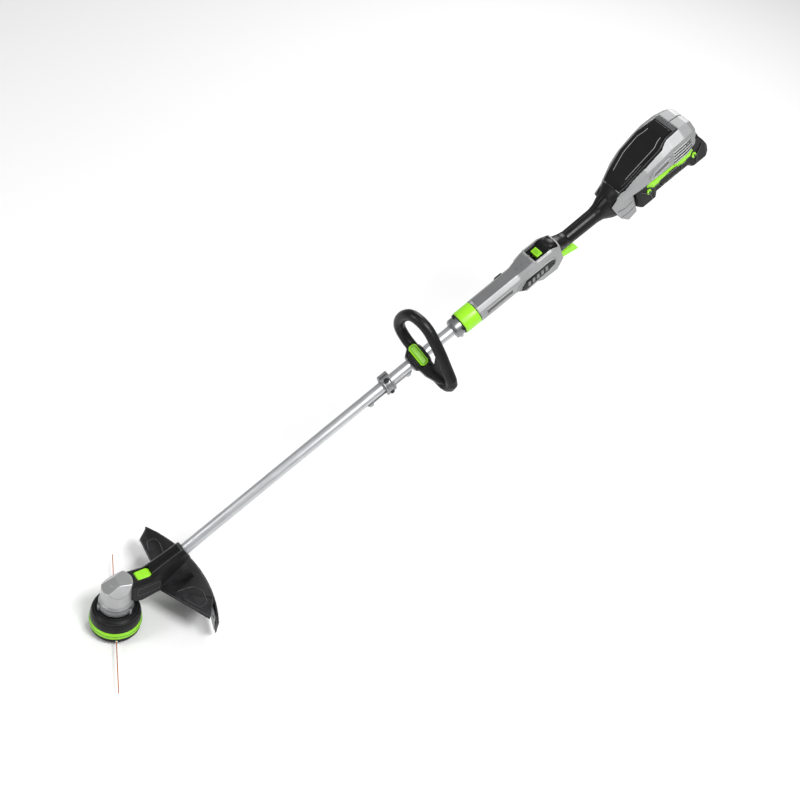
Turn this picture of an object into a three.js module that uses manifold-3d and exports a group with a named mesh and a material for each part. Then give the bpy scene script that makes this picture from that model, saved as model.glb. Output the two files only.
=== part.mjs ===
// A battery string trimmer: cutting head and motor at the front, a straight tube,
// a loop handle, a trigger housing with a rear grip, and a battery housing at the back.
// Millimetres. +X points forward, +Y to the operator's left and +Z up along the axis the head
// spins on. The origin is the centre of the flat face under the bump knob.

import * as THREE from "three";
import { ConvexGeometry } from "three/addons/geometries/ConvexGeometry.js";
import { mergeVertices } from "three/addons/utils/BufferGeometryUtils.js";
import Module from "manifold-3d";

const wasm = await Module();
wasm.setup();
const { Manifold } = wasm;

// Driving dimensions
const GAP = 0.3; // clearance between neighbouring pieces
const TILT = 31; // angle of the tube above the cutting plane, degrees
const AXIS_Z = 70.3; // height at which the tube's axis meets the spin axis
const TUBE_R = 12.7;
const TUBE_WALL = 1.5;

const HEAD_R = 56.3; // coloured band round the head
const LINE_Z = 16.5;
const LINE_R = 1.2;
const SWATH_R = 191; // half of the cutting width
const LINE_ANGLE = 64.7; // where the line points at rest, degrees from +X
const MOTOR_R = 33;
const DOME_TOP = 148;

const GUARD_R = 322; // radius of the guard's outer rim
const GUARD_CENTRE_X = 118;
const GUARD_TOP = 81;
const GUARD_BOTTOM = 20;
const GUARD_WALL = 3;

// Stations along the tube, measured from the spin axis
const SOCKET_START = 96;
const SOCKET_END = 187;
const SLEEVE_START = 696;
const SLEEVE_END = 826;
const CLAMP_T = 760;
const HANDLE_T = 848;
const FERRULE_T = 950;
const COLLAR_START = 972;
const COLLAR_END = 1016;
const CONTROL_START = COLLAR_END + GAP;
const CONTROL_END = 1256;
const TRIGGER_T = 1238;
const TRIGGER_W = -26;
const LOCK_T = 1206;
const LOCK_FRONT = 1186;
const LOCK_FLOOR = 23;
const GRIP_END = 1428;
const HOUSING_REAR = 1652;
const HOUSING_EDGE = 27; // lower edge of the battery housing's sides
const BATTERY_START = 1468;
const BATTERY_END = 1680;
const BATTERY_HALF = 44;

const HANDLE_ROLL = 35; // how far the loop handle is turned towards the operator's left
const HANDLE_LEAN = 22.5; // how far it leans back
const BAR_R = 13.4;

const FINISHES = {
  silver: { color: 0xa4a6a8, roughness: 0.45, metalness: 0.0 },
  black: { color: 0x1d1d1f, roughness: 0.6, metalness: 0.0 },
  softBlack: { color: 0x141416, roughness: 0.8, metalness: 0.0 },
  lime: { color: 0x8fe02a, roughness: 0.45, metalness: 0.0 },
  tube: { color: 0xc9cbcd, roughness: 0.3, metalness: 0.9 },
  cast: { color: 0x8c8e90, roughness: 0.5, metalness: 0.6 },
  steel: { color: 0xb9bbbd, roughness: 0.3, metalness: 1.0 },
  copper: { color: 0xa05a2c, roughness: 0.4, metalness: 0.8 },
  line: { color: 0xe8864a, roughness: 0.5, metalness: 0.0 },
};

const radians = THREE.MathUtils.degToRad;

// A closed three.js geometry as a solid that can be joined and cut.
function solid(geometry) {
  const source = geometry.index ? geometry.toNonIndexed() : geometry;
  const bare = new THREE.BufferGeometry();
  bare.setAttribute("position", source.getAttribute("position"));
  const merged = mergeVertices(bare, 1e-4);
  const corners = merged.index.array;
  const kept = [];
  for (let i = 0; i < corners.length; i += 3) {
    const [a, b, c] = [corners[i], corners[i + 1], corners[i + 2]];
    if (a !== b && b !== c && c !== a) kept.push(a, b, c);
  }
  return new Manifold(
    new wasm.Mesh({
      numProp: 3,
      vertProperties: new Float32Array(merged.attributes.position.array),
      triVerts: new Uint32Array(kept),
    }),
  );
}

function block([x0, x1], [y0, y1], [z0, z1]) {
  const box = new THREE.BoxGeometry(x1 - x0, y1 - y0, z1 - z0);
  return solid(box.translate((x0 + x1) / 2, (y0 + y1) / 2, (z0 + z1) / 2));
}

function rod(from, to, radius, segments = 24, endRadius = radius) {
  const [a, b] = [new THREE.Vector3(...from), new THREE.Vector3(...to)];
  const along = b.clone().sub(a);
  const cylinder = new THREE.CylinderGeometry(endRadius, radius, along.length(), segments);
  const turn = new THREE.Quaternion().setFromUnitVectors(
    new THREE.Vector3(0, 1, 0),
    along.normalize(),
  );
  const middle = a.add(b).multiplyScalar(0.5);
  return solid(cylinder.applyQuaternion(turn).translate(middle.x, middle.y, middle.z));
}

// A profile of [radius, height] points turned about Z.
function turned(profile, segments = 36) {
  const points = profile.map(([r, z]) => new THREE.Vector2(r, z));
  points.push(points[0].clone());
  const made = solid(new THREE.LatheGeometry(points, segments).rotateX(Math.PI / 2));
  return made.volume() < 0 ? turned([...profile].reverse(), segments) : made;
}

// The same profile turned about the tube's axis, [radius, station].
const turnedOnTube = (profile, segments = 32) => turned(profile, segments).rotate([0, 90, 0]);

const hull = (points) => solid(new ConvexGeometry(points.map((p) => new THREE.Vector3(...p))));

// An outline of [x, y] points given thickness from z0 to z1.
function plate(outline, z0, z1) {
  const shape = new THREE.Shape(outline.map(([x, y]) => new THREE.Vector2(x, y)));
  const made = new THREE.ExtrudeGeometry(shape, { depth: z1 - z0, bevelEnabled: false });
  return solid(made.translate(0, 0, z0));
}

// An outline of [x, z] points given width from y0 to y1.
const sidePlate = (outline, y0, y1) => plate(outline, -y1, -y0).rotate([90, 0, 0]);

// A skin over rings of points, each ring at one station along X, all with the same number of points.
function loft(rings) {
  const count = rings[0].length;
  const at = (i, j) => rings[i][j % count];
  const corners = [];
  for (let i = 0; i < rings.length - 1; i++)
    for (let j = 0; j < count; j++)
      corners.push(
        at(i, j), at(i, j + 1), at(i + 1, j + 1),
        at(i, j), at(i + 1, j + 1), at(i + 1, j),
      );
  for (let j = 1; j < count - 1; j++) {
    corners.push(at(0, 0), at(0, j + 1), at(0, j));
    const last = rings.length - 1;
    corners.push(at(last, 0), at(last, j), at(last, j + 1));
  }
  const geometry = new THREE.BufferGeometry();
  geometry.setAttribute("position", new THREE.Float32BufferAttribute(corners.flat(), 3));
  const made = solid(geometry);
  if (made.volume() > 0) return made;
  return loft(rings.map((ring) => [...ring].reverse()));
}

// A rectangle with cut corners at station x: half width, lower and upper edge, corner cut.
function octagon(x, half, low, high, lowCut, highCut = lowCut) {
  return [
    [x, -half, low + lowCut], [x, -half + lowCut, low],
    [x, half - lowCut, low], [x, half, low + lowCut],
    [x, half, high - highCut], [x, half - highCut, high],
    [x, -half + highCut, high], [x, -half, high - highCut],
  ];
}

// An oval ring at station x; a power under one makes it squarer.
function oval(x, half, low, high, power = 1, count = 20) {
  const [middle, rise] = [(low + high) / 2, (high - low) / 2];
  const bulge = (v) => Math.sign(v) * Math.abs(v) ** power;
  return Array.from({ length: count }, (_, k) => {
    const a = (2 * Math.PI * (k + 0.5)) / count;
    return [x, half * bulge(Math.cos(a)), middle + rise * bulge(Math.sin(a))];
  });
}

// The corners of a round section.
const roundSection = (radius, sides) =>
  Array.from({ length: sides }, (_, k) => {
    const a = (2 * Math.PI * k) / sides;
    return [radius * Math.cos(a), radius * Math.sin(a)];
  });

// A straight length of round cord along X from x0 to x1.
const cord = (radius, sides, x0, x1) =>
  plate(roundSection(radius, sides), x0, x1).rotate([0, 90, 0]);

// A wire wound round Z from z0 to z1.
function coil(radius, wire, turns, z0, z1) {
  class Helix extends THREE.Curve {
    getPoint(t, target = new THREE.Vector3()) {
      const a = 2 * Math.PI * turns * t;
      return target.set(radius * Math.cos(a), radius * Math.sin(a), z0 + (z1 - z0) * t);
    }
  }
  const section = new THREE.Shape(roundSection(wire, 5).map(([x, y]) => new THREE.Vector2(x, y)));
  const options = { steps: turns * 8, extrudePath: new Helix(), bevelEnabled: false };
  return solid(new THREE.ExtrudeGeometry(section, options));
}

const join = (...parts) => Manifold.union(parts);
const cut = (from, ...tools) => Manifold.difference([from, ...tools]);
const mirrored = (part) => part.mirror([0, 1, 0]);
const polar = (radius, degrees) => [
  radius * Math.cos(radians(degrees)),
  radius * Math.sin(radians(degrees)),
];

// A screw whose head sits at its start and whose shank runs to its end.
const screw = (from, to, radius, headRadius, headHeight) => {
  const [a, b] = [new THREE.Vector3(...from), new THREE.Vector3(...to)];
  const back = a.clone().sub(b).setLength(headHeight);
  const inHead = a.clone().addScaledVector(back, 0.5).toArray();
  const top = a.clone().add(back).toArray();
  return join(rod(inHead, to, radius, 10), rod(top, from, headRadius, 14));
};

// Splits a shell down its middle plane; the halves keep the usual clearance.
// In the tube's frame the operator's left is -Y, so the caller says which side is left.
function halves(part, leftSign = 1) {
  const left = part.trimByPlane([0, leftSign, 0], GAP / 2);
  const right = part.trimByPlane([0, -leftSign, 0], GAP / 2);
  return { left, right };
}

// Scene graph. Pieces on the tube live in a group whose +X runs back along the tube,
// +Y to the operator's right and +Z away from the ground side of the tube.
const trimmer = new THREE.Group();
trimmer.name = "string_trimmer";
const onTube = new THREE.Group();
onTube.name = "on_tube";
onTube.position.set(0, 0, AXIS_Z);
onTube.rotation.set(0, radians(TILT), Math.PI);
trimmer.add(onTube);

const tubeToWorld = (part) =>
  part.rotate([0, 0, 180]).rotate([0, TILT, 0]).translate([0, 0, AXIS_Z]);

function piece(name, part, finish, parent = trimmer) {
  const { vertProperties, triVerts } = part.getMesh();
  const geometry = new THREE.BufferGeometry();
  geometry.setAttribute("position", new THREE.Float32BufferAttribute(vertProperties, 3));
  geometry.setIndex([...triVerts]);
  geometry.computeVertexNormals();
  const mesh = new THREE.Mesh(
    geometry,
    new THREE.MeshStandardMaterial({ ...FINISHES[finish], flatShading: true }),
  );
  mesh.name = name;
  parent.add(mesh);
  return mesh;
}

// Tube: drawn aluminium, from the socket on the motor arm to the trigger housing.
const tube = turnedOnTube([
  [TUBE_R - TUBE_WALL, SOCKET_START], [TUBE_R, SOCKET_START],
  [TUBE_R, CONTROL_START + 24], [TUBE_R - TUBE_WALL, CONTROL_START + 24],
]);
piece("shaft_tube", tube, "tube", onTube);

// Motor lead: runs the whole way inside the tube.
piece(
  "motor_lead",
  cord(3.2, 10, SOCKET_START + 2, CONTROL_START + 20),
  "softBlack",
  onTube,
);

// Head cap: moulded nylon bell that hangs on the motor's shaft.
const headCap = turned([
  [4.3, 70], [38, 70], [44, 68.5], [49, 65.2], [52.3, 61.5], [54.8, 52], [55.3, 39 + GAP],
  [52.7, 39 + GAP], [52.7, 24], [50.2, 24], [50.2, 50], [47, 58], [40, 65.5], [12, 66],
  [12, 56], [4.3, 56],
]);
piece("head_upper_cap", headCap, "black");

// Band: coloured ring snapped round the cap's skirt.
const band = turned([
  [53, 21], [54.8, 21], [HEAD_R, 25], [HEAD_R, 35], [55.2, 39], [53, 39],
]);
piece("head_band", band, "lime");

// Lower cover: closes the head and carries the two line eyelets in its wall.
const eyeletSpots = [LINE_ANGLE, LINE_ANGLE + 180];
const lowerCover = cut(
  turned([
    [24, 8], [49, 8], [54.8, 12], [54.8, 21 - GAP], [51, 21 - GAP], [51, 14],
    [48, 11], [24, 11],
  ]),
  ...eyeletSpots.map((angle) =>
    rod([...polar(45, angle), LINE_Z], [...polar(60, angle), LINE_Z], 3 + GAP, 12),
  ),
);
piece("head_lower_cover", lowerCover, "black");

// Eyelets: turned aluminium bushes where the line leaves the head.
const eyelet = (angle) =>
  cut(
    rod([...polar(51.2, angle), LINE_Z], [...polar(57.4, angle), LINE_Z], 3, 12),
    rod([...polar(49, angle), LINE_Z], [...polar(59, angle), LINE_Z], LINE_R + 0.35, 12),
  );
piece("eyelet_near", eyelet(eyeletSpots[0]), "tube");
piece("eyelet_far", eyelet(eyeletSpots[1]), "tube");

// Cutting line: two free ends of nylon, held out straight.
const lineEnd = (angle) =>
  cord(LINE_R, 8, 41, SWATH_R).rotate([0, 0, angle]).translate([0, 0, LINE_Z]);
piece("line_end_near", lineEnd(eyeletSpots[0]), "line");
piece("line_end_far", lineEnd(eyeletSpots[1]), "line");

// Spool, and the line wound on it.
const spool = turned([
  [9, 22], [44, 22], [44, 24.5], [20, 24.5], [20, 38], [40, 38], [40, 40.5], [9, 40.5],
]);
piece("spool", spool, "black");
const wound = turned([
  [20.3, 25], [36, 25], [37.5, 28], [36.8, 31], [37.5, 34], [36, 37.5], [20.3, 37.5],
]);
piece("wound_line", wound, "line");

// Bump knob: pressed against the ground to feed line; its stem slides in the spool.
const knob = turned([
  [0, 0], [15, 0], [20, 1.5], [22, 4.5], [22, 7.2], [8.5, 7.2], [8.5, 40], [0, 40],
]);
piece("bump_knob", knob, "black");
piece("bump_spring", coil(6.6, 0.8, 4, 41.4, 55), "steel");

// Motor base: cast aluminium ring under the motor, with screw lugs and a tongue into the arm.
const lugAngles = [112, 232, 352];
const motorBase = cut(
  join(
    turned([
      [6.5, 72], [36, 72], [38.4, 75], [38.4, 88], [36.6, 91], [34.4, 91],
      [34.4, 83], [14, 83], [14, 81.3], [6.5, 81.3],
    ]),
    ...lugAngles.map((angle) =>
      rod([...polar(37.5, angle), 72.8], [...polar(37.5, angle), 90], 4.6, 12),
    ),
    block([-66, -36], [-13, 13], [86, 90.5]),
  ),
  turned([[0, 74], [11.3, 74], [11.3, 82], [0, 82]]),
);
piece("motor_base", motorBase, "cast");

// Motor housing: faceted dome with a flat crown, cut back at the front and at both sides.
const [crownFrontX, crownHalf] = [0.7, 13.7];
const sideSlope = new THREE.Vector3(0.226, 0.686, 0.684).normalize();
const frontSlope = new THREE.Vector3(0.4, 0, 0.917).normalize();
function dome(radius, inset, low) {
  const ridge = new THREE.Vector3(crownFrontX, crownHalf, DOME_TOP);
  let shape = turned([[0, low], [radius, low], [radius, DOME_TOP - inset], [0, DOME_TOP - inset]], 48);
  const planes = [
    frontSlope,
    sideSlope,
    new THREE.Vector3(sideSlope.x, -sideSlope.y, sideSlope.z),
  ];
  for (const normal of planes) {
    const corner = ridge.clone().setY(Math.sign(normal.y) * crownHalf);
    const reach = corner.dot(normal) - inset;
    shape = shape.trimByPlane([-normal.x, -normal.y, -normal.z], -reach);
  }
  return shape;
}
const domeLow = 91 + GAP;
const motorDome = join(
  cut(
    join(
      dome(MOTOR_R, 0, domeLow),
      turned([[20, domeLow], [37, domeLow], [37, 93.5], [33, 98], [20, 98]]),
    ),
    dome(MOTOR_R - 3, 3.2, domeLow - 1),
  ),
  turned([[9.3, 126], [13, 126], [13, 143.5], [0, 143.5], [0, 133], [9.3, 133]]),
);
piece("motor_dome", motorDome, "silver");

// Motor: stator in the dome, rotor and shaft on two bearings.
const bearing = (radius, bore, z0, z1) => turned([[bore, z0], [radius, z0], [radius, z1], [bore, z1]], 32);
piece("bearing_lower", bearing(11, 4.3, 74.3, 81), "steel");
piece("bearing_upper", bearing(9, 4.3, 126.2, 132.7), "steel");
piece("stator", bearing(29.6, 20.2, 98.6, 123), "copper");
piece("rotor", bearing(19.4, 4.3, 98.5, 122.5), "steel");
piece("motor_shaft", rod([0, 0, 56.4], [0, 0, 132.4], 4, 20), "steel");

// Arm: two black shells that hold the motor base's tongue and clamp the tube.
const armSide = [
  [-14, 92, 146, 25], [-50, 80, 141, 24], [-98, 86, 138, 22],
];
const armBody = hull(
  armSide.flatMap(([x, low, high, half]) => octagon(x, half, low, high, 4, 8)),
);
const socketBody = hull([
  ...octagon(SOCKET_START - 12, 22, -30, 28, 5, 9),
  ...octagon(SOCKET_END - 30, 19.5, -21, 22, 6, 9),
  ...octagon(SOCKET_END, 18.5, -19.5, 19.5, 7, 9),
]);
const armOuter = join(armBody, tubeToWorld(socketBody));
const armCavity = hull([
  ...octagon(-14, 21.5, 95, 134, 3, 6),
  ...octagon(-50, 20.5, 84, 134, 3, 6),
  ...octagon(-74, 19, 92, 130, 3, 6),
]);
const guardScrewT = [126, 152];
const guardScrewHoles = guardScrewT.map((t) =>
  tubeToWorld(rod([t, 0, -40], [t, 0, -14.6], 2.4, 10)),
);
const capOutline = [-77.5, -42.5];
const [capHalf, capShift, capTop] = [12.6, 1, 141];
const arm = cut(
  armOuter,
  armCavity,
  turned([[0, 97], [MOTOR_R + GAP, 97], [MOTOR_R + GAP, 160], [0, 160]], 48),
  turned([[0, 70], [38.8, 70], [38.8, 91.2], [37.4, 91.2], [37.4, 94], [33.2, 98.3], [0, 98.3]]),
  block([-67, -30], [-13 - GAP, 13 + GAP], [80, 91]),
  tubeToWorld(rod([SOCKET_START - GAP, 0, 0], [SOCKET_END + 5, 0, 0], TUBE_R + GAP, 32)),
  tubeToWorld(rod([SOCKET_START - 40, 0, 0], [SOCKET_START + 5, 0, 0], 7, 16)),
  block([capOutline[0] - GAP, capOutline[1] + GAP], [capShift - capHalf - GAP, capShift + capHalf + GAP], [capTop - 5.6, 150]),
);
const armHalves = halves(cut(arm, ...guardScrewHoles));
piece("arm_shell_left", armHalves.left, "black");
piece("arm_shell_right", armHalves.right, "black");

// Arm cap: coloured rounded cover over the wiring port.
const armCap = hull([
  ...plateCorners(capOutline, capHalf, 4, capTop - 5.2),
  ...plateCorners(capOutline, capHalf, 4, capTop - 1),
  ...plateCorners([capOutline[0] + 2, capOutline[1] - 2], capHalf - 2, 3.4, capTop + 1),
]).translate([0, capShift, 0]);
piece("arm_cap", armCap, "lime");

// Corner points of a level rectangle with cut corners.
function plateCorners([x0, x1], half, corner, z) {
  return [
    [x0 + corner, -half, z], [x1 - corner, -half, z], [x1, -half + corner, z],
    [x1, half - corner, z], [x1 - corner, half, z], [x0 + corner, half, z],
    [x0, half - corner, z], [x0, -half + corner, z],
  ];
}

// Guard: moulded plate behind the head with a curved skirt, hung from the socket.
const rimPoint = (radius, y) => [
  GUARD_CENTRE_X - Math.sqrt(radius ** 2 - y ** 2), y,
];
const rimArc = (radius, from, to, steps = 24) =>
  Array.from({ length: steps + 1 }, (_, k) => rimPoint(radius, from + ((to - from) * k) / steps));
const [rimFar, rimNear, plateNear] = [-163, 156, 88];
const guardPlate = plate(
  [
    [-100, -17], [-118, -63], [-128, -136], ...rimArc(GUARD_R, rimFar, plateNear),
    [-153, 135], [-100, 17],
  ],
  GUARD_TOP - GUARD_WALL,
  GUARD_TOP,
);
const skirt = plate(
  [
    ...rimArc(GUARD_R, rimFar, rimNear),
    ...rimArc(GUARD_R - GUARD_WALL, rimNear, rimFar),
  ],
  GUARD_BOTTOM,
  GUARD_TOP,
);
const skirtEnd = new THREE.Vector3(0, 138, 30);
const skirtSlant = new THREE.Vector3(0, -1, 0.32).normalize();
const slantedSkirt = skirt.trimByPlane(skirtSlant.toArray(), skirtSlant.dot(skirtEnd));
const bladeEnds = [82, 128].map((y) => rimPoint(GUARD_R - GUARD_WALL - 1, y));
const bladeAlong = new THREE.Vector2(
  bladeEnds[1][0] - bladeEnds[0][0],
  bladeEnds[1][1] - bladeEnds[0][1],
).normalize();
const bladeAcross = new THREE.Vector2(-bladeAlong.y, bladeAlong.x);
const bladeScrews = [0.25, 0.75].map((share) =>
  bladeEnds[0].map((value, axis) => value + (bladeEnds[1][axis] - value) * share),
);
const acrossBlade = ([x, y], reach, z) => [
  x + bladeAcross.x * reach, y + bladeAcross.y * reach, z,
];
const bladeHeight = 52;
const bladeBosses = bladeScrews.map((spot) =>
  rod(acrossBlade(spot, GAP, bladeHeight), acrossBlade(spot, 7, bladeHeight), 5, 12),
);
const guardRibs = [-100, -50, 50].map((y) => {
  const rim = rimPoint(GUARD_R - 1, y);
  return block([rim[0], rim[0] + 22], [y - 1.2, y + 1.2], [GUARD_BOTTOM + 8, GUARD_TOP - 1]);
});
const tubePoint = (t, w) => [
  -t * Math.cos(radians(TILT)) + w * Math.sin(radians(TILT)),
  AXIS_Z + t * Math.sin(radians(TILT)) + w * Math.cos(radians(TILT)),
];
const bracketRear = tubePoint(172, -18)[0];
const bracket = sidePlate(
  [
    [-97, GUARD_TOP - GUARD_WALL], [-97, GUARD_TOP + 8], tubePoint(104, -18),
    tubePoint(172, -18), [bracketRear - 22, GUARD_TOP + 6],
    [bracketRear - 28, GUARD_TOP - GUARD_WALL],
  ],
  -15,
  15,
);
const bracketCeiling = -28;
const guardHollow = sidePlate(
  [
    [-101, GUARD_TOP - 8], [-101, GUARD_TOP + 6], tubePoint(116, bracketCeiling),
    tubePoint(166, bracketCeiling), [bracketRear - 17, GUARD_TOP + 4],
    [bracketRear - 22, GUARD_TOP - 8],
  ],
  -12,
  12,
);
const armClearance = join(
  hull(armSide.flatMap(([x, low, high, half]) => octagon(x, half + GAP, low - GAP, high, 4, 8))),
  tubeToWorld(
    hull([
      ...octagon(SOCKET_START - 13, 22 + GAP, -30 - GAP, 28, 5, 9),
      ...octagon(SOCKET_END - 30, 19.5 + GAP, -21 - GAP, 22, 6, 9),
      ...octagon(SOCKET_END + 1, 18.5 + GAP, -19.5 - GAP, 19.5, 7, 9),
    ]),
  ),
);
const guardLip = plate(
  [[-128, -136], [-159, -162.5], [-161, -160.2], [-130, -133.7]],
  GUARD_TOP - GUARD_WALL - 4,
  GUARD_TOP,
);
const guard = cut(
  join(guardPlate, slantedSkirt, bracket, guardLip, ...bladeBosses, ...guardRibs),
  armClearance,
  guardHollow,
  ...guardScrewHoles,
  ...bladeScrews.map((spot) =>
    rod(acrossBlade(spot, -3, bladeHeight), acrossBlade(spot, 9, bladeHeight), 1.9, 10),
  ),
);
piece("guard", guard, "black");
guardScrewT.forEach((t, k) => {
  const seat = bracketCeiling - GAP;
  piece(`guard_screw_${k + 1}`, screw([t, 0, seat], [t, 0, -15.4], 2, 4, 3), "steel", onTube);
});

// Cutter: steel blade on the guard that trims the line to length.
const blade = cut(
  hull([
    ...[0, 2].flatMap((reach) => [
      acrossBlade(bladeEnds[0], -reach, 26), acrossBlade(bladeEnds[1], -reach, 26),
      acrossBlade(bladeEnds[0], -reach, 68), acrossBlade(bladeEnds[1], -reach, 68),
    ]),
    acrossBlade(bladeEnds[0], 0, 16), acrossBlade(bladeEnds[1], 0, 16),
  ]),
  ...bladeScrews.map((spot) =>
    rod(acrossBlade(spot, -6, bladeHeight), acrossBlade(spot, 6, bladeHeight), 2.1, 12),
  ),
);
piece("cutter_blade", blade, "steel");
bladeScrews.forEach((spot, k) => {
  const seat = acrossBlade(spot, -2 - GAP, bladeHeight);
  piece(`blade_screw_${k + 1}`, screw(seat, acrossBlade(spot, 6.5, bladeHeight), 1.6, 3.6, 2), "steel");
});

// Strap clamp: two steel half-rings round the tube, pulled together by two screws.
const clampHalfLength = 12;
const clampEars = [[14, 31], [-30, -14]];
const clampScrewW = [23, -23];
const sleeveOuter = 15;
const clampRing = cut(
  join(
    turnedOnTube([
      [sleeveOuter + GAP, CLAMP_T - clampHalfLength], [19.5, CLAMP_T - clampHalfLength],
      [19.5, CLAMP_T + clampHalfLength], [sleeveOuter + GAP, CLAMP_T + clampHalfLength],
    ]),
    ...clampEars.map((span) =>
      block([CLAMP_T - clampHalfLength, CLAMP_T + clampHalfLength], [-8, 8], span),
    ),
  ),
  rod([CLAMP_T - 20, 0, 0], [CLAMP_T + 20, 0, 0], sleeveOuter + GAP, 32),
  block([CLAMP_T - 20, CLAMP_T + 20], [-1.2, 1.2], [-40, 40]),
  ...clampScrewW.map((w) => rod([CLAMP_T, -12, w], [CLAMP_T, 12, w], 2.6, 12)),
);
const clampHalves = halves(clampRing, -1);
piece("strap_clamp_left", clampHalves.left, "cast", onTube);
piece("strap_clamp_right", clampHalves.right, "cast", onTube);
clampScrewW.forEach((w, k) => {
  const name = ["clamp_screw_upper", "clamp_screw_lower"][k];
  piece(name, screw([CLAMP_T, -8 - GAP, w], [CLAMP_T, 10, w], 2.3, 5.2, 4.5), "steel", onTube);
});

// Limit sleeve: moulded half-pipe under the tube with a raised stop at each end.
const sleeveStop = (t) =>
  hull([
    [t - 9, -9, -12], [t - 9, 9, -12], [t - 4, -7, -25], [t - 4, 7, -25],
    [t + 4, -7, -25], [t + 4, 7, -25], [t + 9, -9, -12], [t + 9, 9, -12],
  ]);
const limitSleeve = cut(
  join(
    turnedOnTube([
      [TUBE_R + GAP, SLEEVE_START], [sleeveOuter, SLEEVE_START],
      [sleeveOuter, SLEEVE_END - 5], [TUBE_R + GAP, SLEEVE_END - 5],
    ]),
    sleeveStop(SLEEVE_START + 8),
    sleeveStop(SLEEVE_END - 14),
  ),
  rod([SLEEVE_START - 9, 0, 0], [SLEEVE_END + 9, 0, 0], TUBE_R + GAP, 32),
  block([SLEEVE_START - 9, SLEEVE_END + 9], [-30, 30], [-6, 30]),
);
piece("limit_sleeve", limitSleeve, "cast", onTube);

// Loop handle: one soft-covered bar in a closed loop, moulded with the saddle on the tube.
// It is made upright over the tube and then rolled towards the operator's left.
const saddleBore = TUBE_R + GAP;
const loopRise = Math.cos(radians(HANDLE_LEAN));
const loopBack = Math.sin(radians(HANDLE_LEAN));
// Where the bar's centre line passes: across (operator's right) and out from the tube.
const loopPath = [
  [-60, 17], [0, 17], [50, 17], [82, 30], [92, 62], [80, 98], [42, 111], [-10, 94],
  [-55, 70], [-92, 45], [-88, 24],
];
const loopCurve = new THREE.CatmullRomCurve3(
  loopPath.map(([y, out]) => new THREE.Vector3(HANDLE_T + out * loopBack, y, out * loopRise)),
  true,
);
const [loopSteps, barSides] = [44, 12];
function closedBar() {
  const flatNormal = new THREE.Vector3(loopRise, 0, -loopBack);
  const rings = Array.from({ length: loopSteps }, (_, k) => {
    const here = loopCurve.getPointAt(k / loopSteps);
    const out = new THREE.Vector3().crossVectors(loopCurve.getTangentAt(k / loopSteps), flatNormal);
    return roundSection(BAR_R, barSides).map(([x, y]) =>
      here.clone().addScaledVector(flatNormal, x).addScaledVector(out, y).toArray(),
    );
  });
  const corners = [];
  for (let i = 0; i < loopSteps; i++)
    for (let j = 0; j < barSides; j++) {
      const [a, b] = [rings[i], rings[(i + 1) % loopSteps]];
      const next = (j + 1) % barSides;
      corners.push(a[j], a[next], b[next], a[j], b[next], b[j]);
    }
  const geometry = new THREE.BufferGeometry();
  geometry.setAttribute("position", new THREE.Float32BufferAttribute(corners.flat(), 3));
  return solid(geometry);
}
const saddle = hull([
  ...octagon(HANDLE_T - 21, 20, -1, 22, 1, 8),
  ...octagon(HANDLE_T - 4, 33, -1, 24, 1, 10),
  ...octagon(HANDLE_T + 16, 30, -1, 24, 1, 10),
  ...octagon(HANDLE_T + 23, 20, -1, 20, 1, 8),
]);
const loopWeb = hull(
  [
    [-16, 12, -15, 1, 20], [-13, 18, -42, 2, 24], [-3, 24, -72, 14, 36], [4, 24, -80, 22, 42],
  ].flatMap(([front, rear, y, low, high]) => [
    [HANDLE_T + front, y, low], [HANDLE_T + front, y, high],
    [HANDLE_T + rear, y, low], [HANDLE_T + rear, y, high],
  ]),
);
const leverSpan = [HANDLE_T - 7, HANDLE_T + 14];
const leverHalf = 27;
const leverShift = 5;
const leverPocket = block(
  [leverSpan[0] - 1, leverSpan[1] + 1],
  [leverShift - leverHalf - 1, leverShift + leverHalf + 1],
  [20, 40],
);
const rolled = (part) => part.rotate([HANDLE_ROLL, 0, 0]);
const loopHandle = cut(
  join(closedBar(), saddle, loopWeb),
  rod([HANDLE_T - 60, 0, 0], [HANDLE_T + 90, 0, 0], saddleBore, 32),
  block([HANDLE_T - 60, HANDLE_T + 90], [-19, 19], [-20, GAP / 2]),
  leverPocket,
);
piece("loop_handle", rolled(loopHandle), "softBlack", onTube);

// Lower clamp of the handle: closes the saddle round the tube.
const handleClamp = cut(
  hull([
    ...octagon(HANDLE_T - 20, 18.5, -20, -GAP / 2, 7, 1),
    ...octagon(HANDLE_T + 22, 18.5, -20, -GAP / 2, 7, 1),
  ]),
  rod([HANDLE_T - 60, 0, 0], [HANDLE_T + 60, 0, 0], saddleBore, 32),
);
piece("handle_clamp", rolled(handleClamp), "black", onTube);

// Handle lever: coloured over-centre lever that frees the handle to slide.
const lever = hull([
  ...octagon(leverSpan[0], leverHalf - 5, 22, 27, 1, 2),
  ...octagon(leverSpan[0] + 5, leverHalf, 20.5, 28.5, 1, 2),
  ...octagon(leverSpan[1] - 5, leverHalf, 20.5, 28.5, 1, 2),
  ...octagon(leverSpan[1], leverHalf - 5, 22, 27, 1, 2),
]);
piece("handle_lever", rolled(lever.translate([0, leverShift, 0])), "lime", onTube);

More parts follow.
